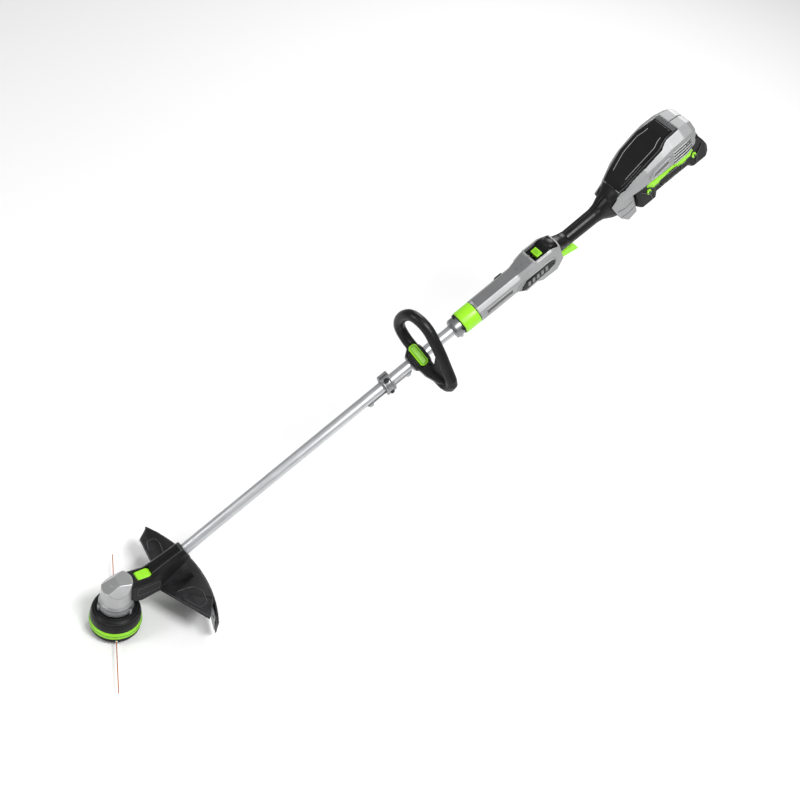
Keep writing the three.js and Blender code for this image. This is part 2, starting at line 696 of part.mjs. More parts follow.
// Ferrule: die-cast coupling between the tube and the trigger housing, with a locking screw.
const ferruleScrewT = FERRULE_T + 12;
const ferruleScrewW = -26.5;
const ferruleBoss = hull([
  ...octagon(FERRULE_T + 3, 9, -32, -12, 4, 2),
  ...octagon(COLLAR_START - GAP, 9, -32, -12, 4, 2),
]);
const ferrule = cut(
  join(
    turnedOnTube([
      [TUBE_R + GAP, FERRULE_T], [19.5, FERRULE_T], [22.5, FERRULE_T + 4],
      [22.5, COLLAR_START - GAP], [21.3, COLLAR_START - GAP], [21.3, COLLAR_END - GAP],
      [TUBE_R + GAP, COLLAR_END - GAP],
    ]),
    ferruleBoss,
  ),
  rod([FERRULE_T - 5, 0, 0], [FERRULE_T + 90, 0, 0], TUBE_R + GAP, 32),
  rod([ferruleScrewT, -12, ferruleScrewW], [ferruleScrewT, 12, ferruleScrewW], 2.4, 12),
);
piece("shaft_ferrule", ferrule, "cast", onTube);
piece(
  "ferrule_screw",
  screw([ferruleScrewT, -9 - GAP, ferruleScrewW], [ferruleScrewT, 7, ferruleScrewW], 2.1, 4.2, 3.5),
  "steel",
  onTube,
);

// Collar: coloured sleeve over the coupling.
const collar = turnedOnTube([
  [21.3 + GAP, COLLAR_START], [25.4, COLLAR_START], [26.8, COLLAR_START + 2],
  [26.8, COLLAR_END - 2], [25.8, COLLAR_END - GAP], [21.3 + GAP, COLLAR_END - GAP],
], 40);
piece("collar_band", collar, "lime", onTube);

// Trigger housing: two silver half shells, slim at the front and deep round the trigger.
const controlRings = (shrink) => [
  octagon(CONTROL_START + shrink, 23.5 - shrink, -25 + shrink, 24.5 - shrink, 10),
  octagon(CONTROL_START + 122, 23.5 - shrink, -25 + shrink, 24.5 - shrink, 10),
  octagon(CONTROL_START + 148, 26 - shrink, -33 + shrink, 29 - shrink, 9, 7),
  octagon(CONTROL_START + 172, 28 - shrink, -49 + shrink, 35 - shrink, 12, 7),
  octagon(CONTROL_START + 214, 28 - shrink, -51 + shrink, 34 - shrink, 12, 7),
  octagon(CONTROL_END - shrink, 22 - shrink, -38 + shrink, 27 - shrink, 10, 7),
];
const slot = (side) =>
  block(
    [CONTROL_START + 22, CONTROL_START + 92],
    [Math.min(side * 21.5, side * 30), Math.max(side * 21.5, side * 30)],
    [-7, 2],
  );
const bezelHalf = 21;
const gripOutline = (t, grow) => oval(t, 17 + grow, -23 - grow, 14 + grow);
const badgeSpan = [CONTROL_START + 112, CONTROL_START + 212];
const badgeOutline = (grow) => [
  [badgeSpan[0] - grow, -14], [badgeSpan[0] + 16, -5.5 + grow], [badgeSpan[1] - 12, -4 + grow],
  [badgeSpan[1] + grow, -11], [badgeSpan[1] - 16, -21 - grow], [badgeSpan[0] + 12, -22 - grow],
];
const badgePocket = (side) =>
  sidePlate(badgeOutline(GAP), side > 0 ? 27.2 : -32, side > 0 ? 32 : -27.2);
const badgeIsland = sidePlate(badgeOutline(5), 21, 28);
const triggerHalf = 8;
const controlHousing = cut(
  join(
    cut(loft(controlRings(0)), loft(controlRings(2.6))),
    cut(
      turnedOnTube([
        [TUBE_R + GAP, CONTROL_START], [24.6, CONTROL_START], [24.6, CONTROL_START + 3.5],
        [22, CONTROL_START + 3.5], [22, CONTROL_START + 22], [TUBE_R + GAP, CONTROL_START + 22],
      ]),
      block([CONTROL_START + 3.5, CONTROL_START + 30], [20, 30], [-30, 30]),
      block([CONTROL_START + 3.5, CONTROL_START + 30], [-30, -20], [-30, 30]),
    ),
    badgeIsland,
    mirrored(badgeIsland),
    block([TRIGGER_T - 5, TRIGGER_T + 5], [-24, -triggerHalf - 1], [TRIGGER_W - 5, TRIGGER_W + 5]),
    block([TRIGGER_T - 5, TRIGGER_T + 5], [triggerHalf + 1, 24], [TRIGGER_W - 5, TRIGGER_W + 5]),
  ),
  rod([CONTROL_START - 5, 0, 0], [CONTROL_START + 60, 0, 0], TUBE_R + GAP, 32),
  slot(1),
  slot(-1),
  badgePocket(1),
  badgePocket(-1),
  block([LOCK_FRONT - GAP, CONTROL_END - 4], [-bezelHalf - GAP, bezelHalf + GAP], [LOCK_FLOOR - 4 - GAP, 40]),
  block([TRIGGER_T - 16, CONTROL_END + 20], [-triggerHalf - 1, triggerHalf + 1], [-70, -18]),
  loft([gripOutline(CONTROL_END - 20, GAP), gripOutline(CONTROL_END + 10, GAP)]),
  rod([TRIGGER_T, -20, TRIGGER_W], [TRIGGER_T, 20, TRIGGER_W], 2.3, 12),
);
const controlHalves = halves(controlHousing, -1);
piece("control_housing_left", controlHalves.left, "silver", onTube);
piece("control_housing_right", controlHalves.right, "silver", onTube);

// Side badges: plain dark plates let into both sides of the housing.
piece("side_badge_left", sidePlate(badgeOutline(0), -28.8, -27.5), "black", onTube);
piece("side_badge_right", sidePlate(badgeOutline(0), 27.5, 28.8), "black", onTube);

// Lock-off bezel and slide: the slide must be pushed forward before the trigger moves.
const lockTravel = 7;
const slideHalf = 12;
const bezelSide = [
  [LOCK_FRONT, LOCK_FLOOR - 4], [CONTROL_END - 5, LOCK_FLOOR - 4], [CONTROL_END - 5, LOCK_FLOOR + 1],
  [LOCK_T + 30, LOCK_FLOOR + 8.5], [LOCK_T + 22, LOCK_FLOOR + 9], [LOCK_T + 12, LOCK_FLOOR + 0.8],
  [LOCK_FRONT, LOCK_FLOOR],
];
const bezelTop = [
  [LOCK_FRONT, -bezelHalf], [LOCK_T + 14, -bezelHalf], [CONTROL_END - 5, -14],
  [CONTROL_END - 5, 14], [LOCK_T + 14, bezelHalf], [LOCK_FRONT, bezelHalf],
];
const bezel = cut(
  sidePlate(bezelSide, -40, 40).intersect(plate(bezelTop, 0, 60)),
  block(
    [LOCK_T - 7 - lockTravel - GAP, LOCK_T + 7 + GAP],
    [-slideHalf + 3 - GAP, slideHalf - 3 + GAP],
    [LOCK_FLOOR - 10, LOCK_FLOOR + 10],
  ),
);
piece("lock_off_bezel", bezel, "black", onTube);
const lockSlide = join(
  block([LOCK_T - 7, LOCK_T + 7], [-slideHalf + 3, slideHalf - 3], [LOCK_FLOOR - 8, LOCK_FLOOR + 3]),
  hull([
    ...octagon(LOCK_T - 7.5, slideHalf, LOCK_FLOOR + 1.8, LOCK_FLOOR + 5, 0.6, 1),
    ...octagon(LOCK_T, slideHalf, LOCK_FLOOR + 1.8, LOCK_FLOOR + 4, 0.6, 1),
    ...octagon(LOCK_T + 7.5, slideHalf, LOCK_FLOOR + 1.8, LOCK_FLOOR + 6, 0.6, 1),
  ]),
);
piece("lock_off_slide", lockSlide, "lime", onTube);

// Trigger: coloured paddle on a pin, pushed out by a spring, with its switch above it.
const paddle = cut(
  join(
    sidePlate(
      [
        [TRIGGER_T - 6, TRIGGER_W - 4], [TRIGGER_T + 4, TRIGGER_W - 12],
        [TRIGGER_T + 20, TRIGGER_W - 19], [TRIGGER_T + 62, TRIGGER_W - 30],
        [TRIGGER_T + 69, TRIGGER_W - 31], [TRIGGER_T + 66, TRIGGER_W - 20],
        [TRIGGER_T + 58, TRIGGER_W - 9], [TRIGGER_T + 24, TRIGGER_W - 3],
        [TRIGGER_T + 6, TRIGGER_W + 4], [TRIGGER_T - 4, TRIGGER_W + 5],
      ],
      -triggerHalf + 0.3,
      triggerHalf - 0.3,
    ),
  ),
  rod([TRIGGER_T, -20, TRIGGER_W], [TRIGGER_T, 20, TRIGGER_W], 2 + GAP, 12),
  ...[0, 1, 2, 3].map((k) =>
    block(
      [TRIGGER_T + 30 + 8 * k, TRIGGER_T + 32 + 8 * k],
      [-20, 20],
      [TRIGGER_W - 40, TRIGGER_W - 21 - 2.1 * k],
    ),
  ),
);
piece("trigger", paddle, "lime", onTube);
piece("trigger_pin", rod([TRIGGER_T, -19, TRIGGER_W], [TRIGGER_T, 19, TRIGGER_W], 2, 12), "steel", onTube);
piece(
  "trigger_spring",
  coil(4, 0.6, 4, 0, 8).translate([TRIGGER_T + 10, 0, TRIGGER_W + 5.5]),
  "steel",
  onTube,
);
piece(
  "trigger_switch",
  block([TRIGGER_T - 62, TRIGGER_T - 12], [-11, 11], [-22, 6]),
  "black",
  onTube,
);

// Rear grip: two soft-covered half shells that flare out into the battery housing.
const gripRings = (shrink) => [
  oval(CONTROL_END - 18, 17 - shrink, -23 + shrink, 14 - shrink),
  oval(CONTROL_END + 22, 17 - shrink, -23 + shrink, 14 - shrink),
  oval(CONTROL_END + 112, 18 - shrink, -24 + shrink, 15 - shrink),
  oval(GRIP_END - 44, 20 - shrink, -26 + shrink, 18 - shrink, 0.9),
  oval(GRIP_END - 22, 26 - shrink, -38 + shrink, 30 - shrink, 0.7),
];
const gripShell = cut(
  loft([...gripRings(0), oval(GRIP_END + 6, 31, -46, 36, 0.6)]),
  loft([
    ...gripRings(3).map((ring, k) => (k === 0 ? ring.map(([x, y, z]) => [x - 5, y, z]) : ring)),
    oval(GRIP_END + 8, 28, -43, 33, 0.6),
  ]),
  sidePlate(
    [
      [GRIP_END + 3 - GAP, 60], [GRIP_END + 3 - GAP, 34], [1402.7 - GAP, 17],
      [1420.6 - GAP, -42], [1430, -80], [GRIP_END + 30, -80], [GRIP_END + 30, 60],
    ],
    -60,
    60,
  ),
  block([TRIGGER_T - 10, TRIGGER_T + 34], [-triggerHalf - 1, triggerHalf + 1], [-60, -11]),
);
const gripHalves = halves(gripShell, -1);
piece("rear_grip_left", gripHalves.left, "softBlack", onTube);
piece("rear_grip_right", gripHalves.right, "softBlack", onTube);

// Battery housing: two silver half shells, open below for the battery, with a foot in front of it.
const hoodRings = (shrink, drop) =>
  [
    [GRIP_END + 3, 35, 12, 38, 8], [1471, 47, 20, 60, 11], [1500, 51, 25, 75, 14],
    [1548, 54, HOUSING_EDGE, 89, 17], [1576, 54, HOUSING_EDGE, 97, 19],
    [1612, 53, HOUSING_EDGE, 97, 19], [1640, 49, HOUSING_EDGE + 3, 92, 18],
    [HOUSING_REAR, 42, 40, 84, 15],
  ].map(([t, half, low, high, corner], k, all) => {
    const ends = k === 0 ? shrink : k === all.length - 1 ? -shrink : 0;
    return octagon(t + ends, half - shrink, low - drop, high - shrink, 3, corner);
  });
const footOutline = [
  [1402.7, 17], [1431, 34], [1466, 50], [1466, -58], [1440, -66], [1420.6, -42],
];
const footInner = [
  [1398, 10], [1404, 22], [1431, 31], [1480, 50], [1480, 6], [1462.6, 6], [1462.6, -54.5],
  [1441, -61.5], [1424, -40], [1409, 5],
];
const coverOutline = (grow) => [
  [1431 - grow, -27 - grow], [1447 - grow, -33 - grow], [1500, -40 - grow],
  [1552 + grow, -41 - grow], [1572 + grow, -34 - grow], [1612 + grow, -31 - grow],
  [1612 + grow, 31 + grow], [1572 + grow, 34 + grow], [1552 + grow, 41 + grow],
  [1500, 40 + grow], [1447 - grow, 33 + grow], [1431 - grow, 27 + grow],
];
const hoodShell = cut(loft(hoodRings(0, 0)), loft(hoodRings(3, 30)));
const ventT = [1583, 1590.5, 1598, 1605.5];
const vents = [-1, 1].flatMap((side) =>
  [0, 1, 2, 3].map((k) =>
    block(
      [1578, 1626],
      side > 0 ? [47, 60] : [-60, -47],
      [36 + 7 * k, 39 + 7 * k],
    ),
  ),
);
const housing = cut(
  join(
    hoodShell,
    cut(
      sidePlate(footOutline, -32, 32),
      sidePlate(footInner, -29, 29),
      loft(hoodRings(2.9, 30)).intersect(block([1300, 1800], [-29, 29], [-60, 120])),
    ),
  ),
  plate(coverOutline(GAP), 25, 120),
  ...vents,
  block([BATTERY_START - 1, HOUSING_REAR + 10], [-BATTERY_HALF - 0.6, BATTERY_HALF + 0.6], [-80, 48]),
  block([HOUSING_REAR - 8, HOUSING_REAR + 8], [-9 - GAP, 9 + GAP], [62 - 4.5 - GAP, 62 + 4.5 + GAP]),
);
const housingHalves = halves(housing, -1);
piece("battery_housing_left", housingHalves.left, "silver", onTube);
piece("battery_housing_right", housingHalves.right, "silver", onTube);

// Top cover: dark lid let into the top of the housing.
const coverSkin = cut(loft(hoodRings(-0.6, 0)), loft(hoodRings(3, 30)));
const cover = coverSkin.intersect(plate(coverOutline(0), 30, 120));
piece("housing_top_cover", cover, "black", onTube);

// Controller and battery terminals, inside the housing above the battery.
piece("controller_module", block([1510, 1600], [-30, 30], [54, 70]), "cast", onTube);
const terminals = join(
  block([1467, 1477], [-22, 22], [47.5, 54]),
  ...[-12, -4, 4, 12].map((y) => block([1470, 1476], [y - 0.8, y + 0.8], [50, 56])),
);
piece("terminal_block", terminals, "copper", onTube);

// Battery: slides out to the rear. Two deep blocks joined by a raised middle.
const batteryBlock = (t0, t1, low, high, half, corner) =>
  hull([
    ...octagon(t0, half - 4, low + 8, high - 4, corner, 4),
    ...octagon(t0 + 8, half, low, high, corner, 4),
    ...octagon(t1 - 8, half, low, high, corner, 4),
    ...octagon(t1, half - 4, low + 8, high - 4, corner, 4),
  ]);
const trimSpan = [1500, 1630];
const trimLow = 12;
const trimTop = HOUSING_EDGE - 2.4;
const batteryCase = cut(
  join(
    batteryBlock(BATTERY_START, BATTERY_START + 54, -53, 24, BATTERY_HALF, 10),
    batteryBlock(BATTERY_START + 20, BATTERY_END - 20, -40, 44, BATTERY_HALF - 3, 10),
    hull([
      ...octagon(BATTERY_END - 56, BATTERY_HALF - 4, -45, 42, 10, 4),
      ...octagon(BATTERY_END - 48, BATTERY_HALF, -53, 45, 10, 4),
      ...octagon(BATTERY_END - 26, BATTERY_HALF, -53, 45, 10, 4),
      ...octagon(BATTERY_END - 10, BATTERY_HALF, -53, 12, 10, 4),
      ...octagon(BATTERY_END, BATTERY_HALF - 4, -42, -12, 8, 4),
    ]),
  ),
  block([trimSpan[0] - GAP, trimSpan[1] + GAP], [-60, 60], [trimLow - GAP, trimTop + GAP]),
);
piece("battery_case", batteryCase, "black", onTube);

// Battery trim: coloured core plate that shows on both sides between the blocks.
const trim = hull([trimLow, trimTop].flatMap((z) => [
  [trimSpan[0], -46, z], [trimSpan[0], 46, z], [trimSpan[0] + 8, 51.5, z],
  [trimSpan[1] - 10, 51.5, z], [trimSpan[1], 46, z], [trimSpan[1], -46, z],
  [trimSpan[1] - 10, -51.5, z], [trimSpan[0] + 8, -51.5, z],
]));
piece("battery_trim", trim, "lime", onTube);

// Release button: sprung button in the rear wall that lets the battery slide out.
const releaseW = 62;
const release = join(
  block([HOUSING_REAR - 16, HOUSING_REAR - 4], [-12, 12], [releaseW - 6, releaseW + 6]),
  hull([
    ...octagon(HOUSING_REAR - 5, 9, releaseW - 4.5, releaseW + 4.5, 1.5),
    ...octagon(HOUSING_REAR + 2, 9, releaseW - 4.5, releaseW + 4.5, 1.5),
    ...octagon(HOUSING_REAR + 4, 7.5, releaseW - 3.5, releaseW + 3.5, 1.5),
  ]),
);
piece("battery_release_button", release, "lime", onTube);

export default trimmer;
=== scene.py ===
# A battery string trimmer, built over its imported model. Metres, +X forward, +Z up the head's axis.

import math

import bmesh
import bpy
from mathutils import Matrix, Vector
from mathutils.bvhtree import BVHTree


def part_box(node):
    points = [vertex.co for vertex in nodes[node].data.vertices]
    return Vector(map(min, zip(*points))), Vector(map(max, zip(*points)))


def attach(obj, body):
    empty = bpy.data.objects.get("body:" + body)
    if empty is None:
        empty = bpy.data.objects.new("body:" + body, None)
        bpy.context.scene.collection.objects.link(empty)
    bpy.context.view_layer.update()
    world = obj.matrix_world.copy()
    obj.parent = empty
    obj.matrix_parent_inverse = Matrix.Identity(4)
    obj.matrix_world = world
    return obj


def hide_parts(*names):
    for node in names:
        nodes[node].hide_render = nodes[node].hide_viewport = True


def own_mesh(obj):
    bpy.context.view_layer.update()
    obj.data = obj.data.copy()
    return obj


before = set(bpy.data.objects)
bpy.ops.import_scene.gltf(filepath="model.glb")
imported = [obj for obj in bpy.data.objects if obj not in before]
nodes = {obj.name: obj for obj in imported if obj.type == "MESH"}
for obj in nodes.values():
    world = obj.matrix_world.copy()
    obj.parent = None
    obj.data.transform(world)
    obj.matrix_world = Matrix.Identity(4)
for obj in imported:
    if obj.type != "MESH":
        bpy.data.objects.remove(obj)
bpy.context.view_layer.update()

# ---------------------------------------------------------------------------
# Camera. A short telephoto that looks down on the tool from its front left,
# far enough off to take in the whole length from line tip to battery.
# ---------------------------------------------------------------------------
camera_data = bpy.data.cameras.new("camera")
camera_data.lens = 61.19
camera_data.sensor_width = 36
camera_data.clip_end = 50
camera = bpy.data.objects.new("camera", camera_data)
bpy.context.scene.collection.objects.link(camera)
camera_place = Vector((0.9316, 1.67307, 2.41673))
look_right = Vector((-0.79723, 0.58123, 0.16308))
look_up = Vector((-0.29235, -0.60809, 0.73808))
look_back = Vector((0.52816, 0.54074, 0.65471))
look_axes = Matrix((look_right, look_up, look_back)).transposed()
camera.matrix_world = Matrix.Translation(camera_place) @ look_axes.to_4x4()
bpy.context.scene.camera = camera
bpy.context.scene.view_settings.view_transform = "Standard"

# ---------------------------------------------------------------------------
# Cutting line. Extruded nylon with a twisted three-lobed section, which cuts
# cleaner and hums less; each free end leaves the head through its eyelet.
# ---------------------------------------------------------------------------
line_angle = math.radians(64.7)
line_height = 0.0165
line_start, line_end, eyelet_mouth = 0.041, 0.191, 0.0574
line_radius, lobe_rise = 0.00113, 0.00007
line_twists, line_steps, line_sides = 7, 90, 18


def linked(name, mesh, body, finish, smooth=True):
    """A finished mesh as a piece that rides on a body."""
    mesh.materials.append(finish.material)
    piece = bpy.data.objects.new(name, mesh)
    bpy.context.scene.collection.objects.link(piece)
    for face in mesh.polygons:
        face.use_smooth = smooth
    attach(piece, body)
    return piece


def skin(rings, closed_ends=True, ring_loop=False):
    """A mesh over rings of points, each ring closed on itself."""
    mesh = bpy.data.meshes.new("skin")
    count = len(rings[0])
    points = [tuple(p) for ring in rings for p in ring]
    faces = []
    spans = len(rings) if ring_loop else len(rings) - 1
    for i in range(spans):
        for j in range(count):
            a, b = i * count, ((i + 1) % len(rings)) * count
            k = (j + 1) % count
            faces.append((a + j, a + k, b + k, b + j))
    if closed_ends and not ring_loop:
        faces.append(tuple(reversed(range(count))))
        faces.append(tuple((len(rings) - 1) * count + j for j in range(count)))
    mesh.from_pydata(points, [], faces)
    bm = bmesh.new()
    bm.from_mesh(mesh)
    bmesh.ops.recalc_face_normals(bm, faces=bm.faces)
    bm.to_mesh(mesh)
    bm.free()
    return mesh


class Finish:
    """A node material: colour that varies, roughness that varies, and bumps of one or two sizes."""

    def __init__(self, name, color, roughness, metallic=0.0):
        self.material = bpy.data.materials.new(name)
        self.material.use_nodes = True
        self.material.diffuse_color = (*color, 1)
        self.nodes = self.material.node_tree.nodes
        self.links = self.material.node_tree.links
        self.shader = self.nodes["Principled BSDF"]
        self.shader.inputs["Base Color"].default_value = (*color, 1)
        self.shader.inputs["Roughness"].default_value = roughness
        self.shader.inputs["Metallic"].default_value = metallic
        self.color, self.roughness = color, roughness
        self.coordinates = self.nodes.new("ShaderNodeTexCoord").outputs["Object"]
        self.height = None

    def noise(self, scale, detail=3, stretch=(1, 1, 1), turn=(0, 0, 0)):
        """Noise over the piece's own coordinates, which may be stretched and turned."""
        mapping = self.nodes.new("ShaderNodeMapping")
        mapping.inputs["Scale"].default_value = stretch
        mapping.inputs["Rotation"].default_value = turn
        self.links.new(self.coordinates, mapping.inputs["Vector"])
        texture = self.nodes.new("ShaderNodeTexNoise")
        texture.inputs["Scale"].default_value = scale
        texture.inputs["Detail"].default_value = detail
        self.links.new(mapping.outputs[0], texture.inputs["Vector"])
        return texture.outputs["Fac"]

    def mapped(self, value, low, high, at=(0.3, 0.7)):
        """A value spread from one range onto another."""
        spread = self.nodes.new("ShaderNodeMapRange")
        spread.inputs["From Min"].default_value, spread.inputs["From Max"].default_value = at
        spread.inputs["To Min"].default_value, spread.inputs["To Max"].default_value = low, high
        self.links.new(value, spread.inputs["Value"])
        return spread.outputs["Result"]

    def blended(self, share, first, second):
        """Two colours mixed by a share."""
        mix = self.nodes.new("ShaderNodeMix")
        mix.data_type = "RGBA"
        self.links.new(share, mix.inputs["Factor"])
        for socket, value in ((mix.inputs["A"], first), (mix.inputs["B"], second)):
            if isinstance(value, tuple):
                socket.default_value = (*value, 1)
            else:
                self.links.new(value, socket)
        return mix.outputs["Result"]

    def mottled(self, other, scale=35, amount=0.5, stretch=(1, 1, 1), turn=(0, 0, 0)):
        """A second colour in soft patches."""
        share = self.mapped(self.noise(scale, 4, stretch, turn), 0, amount)
        self.tint = self.blended(share, self.color, other)
        self.links.new(self.tint, self.shader.inputs["Base Color"])
        return self

    def worn_and_highlit(self, other, strength=0.5, at=(0.53, 0.6)):
        """Edges lightened towards another colour, in patches: partly rubbed wear, partly a painted highlight
        along the edges.
        """
        edge = self.nodes.new("ShaderNodeNewGeometry").outputs["Pointiness"]
        edge = self.mapped(edge, 0, strength, at)
        patch = self.mapped(self.noise(60, 4), 0.25, 1)
        both = self.nodes.new("ShaderNodeMath")
        both.operation = "MULTIPLY"
        self.links.new(edge, both.inputs[0])
        self.links.new(patch, both.inputs[1])
        before = getattr(self, "tint", self.color)
        self.tint = self.blended(both.outputs[0], before, other)
        self.links.new(self.tint, self.shader.inputs["Base Color"])
        return self

    def patchy(self, amount=0.06, scale=22):
        """Roughness that drifts either side of its middle value."""
        low, high = self.roughness - amount, self.roughness + amount
        rough = self.mapped(self.noise(scale, 5), low, high)
        self.links.new(rough, self.shader.inputs["Roughness"])
        return self

    def grained(self, scale, strength, depth=0.0002, stretch=(1, 1, 1), turn=(0, 0, 0)):
        """Fine bumps, added over any that are there already."""
        bump = self.nodes.new("ShaderNodeBump")
        bump.inputs["Strength"].default_value = strength
        bump.inputs["Distance"].default_value = depth
        self.links.new(self.noise(scale, 2, stretch, turn), bump.inputs["Height"])
        if self.height is not None:
            self.links.new(self.height, bump.inputs["Normal"])
        self.height = bump.outputs["Normal"]
        self.links.new(self.height, self.shader.inputs["Normal"])
        return self

    def set(self, **values):
        """Plain numbers on the shader's own sockets, named with underscores for spaces."""
        for name, value in values.items():
            socket = name.replace("_", " ").title().replace("Ior", "IOR")
            self.shader.inputs[socket].default_value = value
        return self


line_nylon = Finish("line_nylon", (0.40, 0.10, 0.014), 0.5)
line_nylon.mottled((0.50, 0.15, 0.03), 260, 0.8).patchy(0.08, 300).grained(1500, 0.3, 0.0001)
line_nylon.set(subsurface_weight=0.25)
line_nylon.shader.inputs["Subsurface Radius"].default_value = (0.004, 0.002, 0.001)


def twisted_line(name, node, angle):
    """One free end of line, straight out from the spool at this angle round the head."""
    along = Vector((math.cos(angle), math.sin(angle), 0))
    across = Vector((-math.sin(angle), math.cos(angle), 0))
    level = Vector((0, 0, line_height))
    path, rings = [], []
    for k in range(line_steps + 1):
        middle = along * (line_start + (line_end - line_start) * k / line_steps) + level
        twist = 2 * math.pi * k * line_twists / line_steps
        ring = []
        for j in range(line_sides):
            a = 2 * math.pi * j / line_sides
            r = line_radius + lobe_rise * math.cos(3 * a)
            b = a + twist
            ring.append(middle + across * (r * math.cos(b)) + Vector((0, 0, r * math.sin(b))))
        rings.append(ring)
        path.append(tuple(middle))
    piece = linked(name, skin(rings), "head", line_nylon)
    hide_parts(node)


twisted_line("cutting_line_near", "line_end_near", line_angle)
twisted_line("cutting_line_far", "line_end_far", line_angle + math.pi)

# ---------------------------------------------------------------------------
# Floor and lights. A plain pale floor just under the bump knob, with a key,
# a fill and a rim lamp, each large and soft, in an even white room.
# ---------------------------------------------------------------------------
floor_reach, floor_drop = 14, -0.0004
floor_corners = [(-1, -1), (1, -1), (1, 1), (-1, 1)]
floor_mesh = bpy.data.meshes.new("floor")
floor_mesh.from_pydata(
    [(x * floor_reach, y * floor_reach, floor_drop) for x, y in floor_corners], [], [(0, 1, 2, 3)]
)
floor = bpy.data.objects.new("floor", floor_mesh)
bpy.context.scene.collection.objects.link(floor)
floor_paint = Finish("floor_paint", (0.93, 0.93, 0.93), 0.9)
floor_paint.mottled((0.91, 0.91, 0.91), 0.6, 0.5)
floor_mesh.materials.append(floor_paint.material)

world = bpy.data.worlds.new("studio")
world.use_nodes = True
world.node_tree.nodes["Background"].inputs["Color"].default_value = (1, 1, 1, 1)
world.node_tree.nodes["Background"].inputs["Strength"].default_value = 0.40
bpy.context.scene.world = world


def lamp(name, place, target, size, watts):
    """A rectangular area lamp, turned to face its target."""
    data = bpy.data.lights.new(name, "AREA")
    data.shape = "RECTANGLE"
    data.size, data.size_y = size
    data.energy = watts
    lamp_object = bpy.data.objects.new(name, data)
    bpy.context.scene.collection.objects.link(lamp_object)
    aim = Vector(target) - Vector(place)
    lamp_object.location = place
    lamp_object.rotation_euler = aim.to_track_quat("-Z", "Y").to_euler()


lamp("key_lamp", (-0.6, 2.2, 3.6), (-0.7, 0, 0.4), (1.5, 1.0), 128)
lamp("fill_lamp", (2.6, -0.6, 2.4), (-0.4, 0, 0.4), (1.0, 1.6), 34)
lamp("rim_lamp", (-3.2, -1.8, 3.0), (-0.8, 0, 0.6), (1.2, 2.2), 62)

# ---------------------------------------------------------------------------
# Tube. Drawn 25 mm aluminium, satin anodised, with fine draw marks along it.
# The motor lead inside it is a round rubber cable.
# ---------------------------------------------------------------------------
tube_slope = math.radians(31)
tube_turn = (0, -tube_slope, 0)
anodised = Finish("anodised_tube", (0.56, 0.57, 0.58), 0.44, 0.9)
anodised.mottled((0.50, 0.51, 0.53), 40, 0.6, (0.02, 1, 1), tube_turn)
anodised.patchy(0.05, 30).grained(900, 0.12, 0.0001, (0.012, 1, 1), tube_turn)


def smooth_shading(angle):
    """Smooth shading with creases kept where two faces meet at more than the angle."""
    name = f"smooth_under_{angle}"
    if name in bpy.data.node_groups:
        return bpy.data.node_groups[name]
    group = bpy.data.node_groups.new(name, "GeometryNodeTree")
    group.interface.new_socket("Geometry", in_out="INPUT", socket_type="NodeSocketGeometry")
    group.interface.new_socket("Geometry", in_out="OUTPUT", socket_type="NodeSocketGeometry")
    enter, leave = group.nodes.new("NodeGroupInput"), group.nodes.new("NodeGroupOutput")
    edge = group.nodes.new("GeometryNodeInputMeshEdgeAngle")
    flatter = group.nodes.new("FunctionNodeCompare")
    flatter.operation = "LESS_THAN"
    flatter.inputs[1].default_value = math.radians(angle)
    group.links.new(edge.outputs["Unsigned Angle"], flatter.inputs[0])
    edges = group.nodes.new("GeometryNodeSetShadeSmooth")
    edges.domain = "EDGE"
    faces = group.nodes.new("GeometryNodeSetShadeSmooth")
    group.links.new(enter.outputs[0], faces.inputs["Geometry"])
    group.links.new(faces.outputs[0], edges.inputs["Geometry"])
    group.links.new(flatter.outputs["Result"], edges.inputs["Shade Smooth"])
    group.links.new(edges.outputs[0], leave.inputs[0])
    return group


def rounded(piece, width, segments, angle, crease):
    """Rounds the edges sharper than one angle, and shades smooth below the other."""
    rounding = piece.modifiers.new("bevel", "BEVEL")
    rounding.width, rounding.segments = width, segments
    rounding.limit_method, rounding.angle_limit = "ANGLE", math.radians(angle)
    piece.modifiers.new("smooth_shading", "NODES").node_group = smooth_shading(crease)


def shaped(name, finish, voxel=0.0, passes=0, bevel=0.0, angle=30):
    """Gives a carried-over solid its finish, and softens its edges as a mould or a file would."""
    node = nodes[name]
    node.data.materials.clear()
    node.data.materials.append(finish.material)
    weld = node.modifiers.new("weld", "WELD")
    weld.merge_threshold = 1e-5
    if voxel:
        remesh = node.modifiers.new("remesh", "REMESH")
        remesh.mode = "VOXEL"
        remesh.voxel_size = voxel
        remesh.use_smooth_shade = True
        smooth = node.modifiers.new("smooth", "SMOOTH")
        smooth.factor = 0.5
        smooth.iterations = passes
    elif bevel:
        rounded(node, bevel, 3, angle, angle)


shaped("shaft_tube", anodised, bevel=0.0004, angle=40)
cable_rubber = Finish("cable_rubber", (0.014, 0.014, 0.015), 0.6)
cable_rubber.mottled((0.022, 0.022, 0.023), 80).patchy().grained(900, 0.3)
shaped("motor_lead", cable_rubber, bevel=0.0004, angle=50)

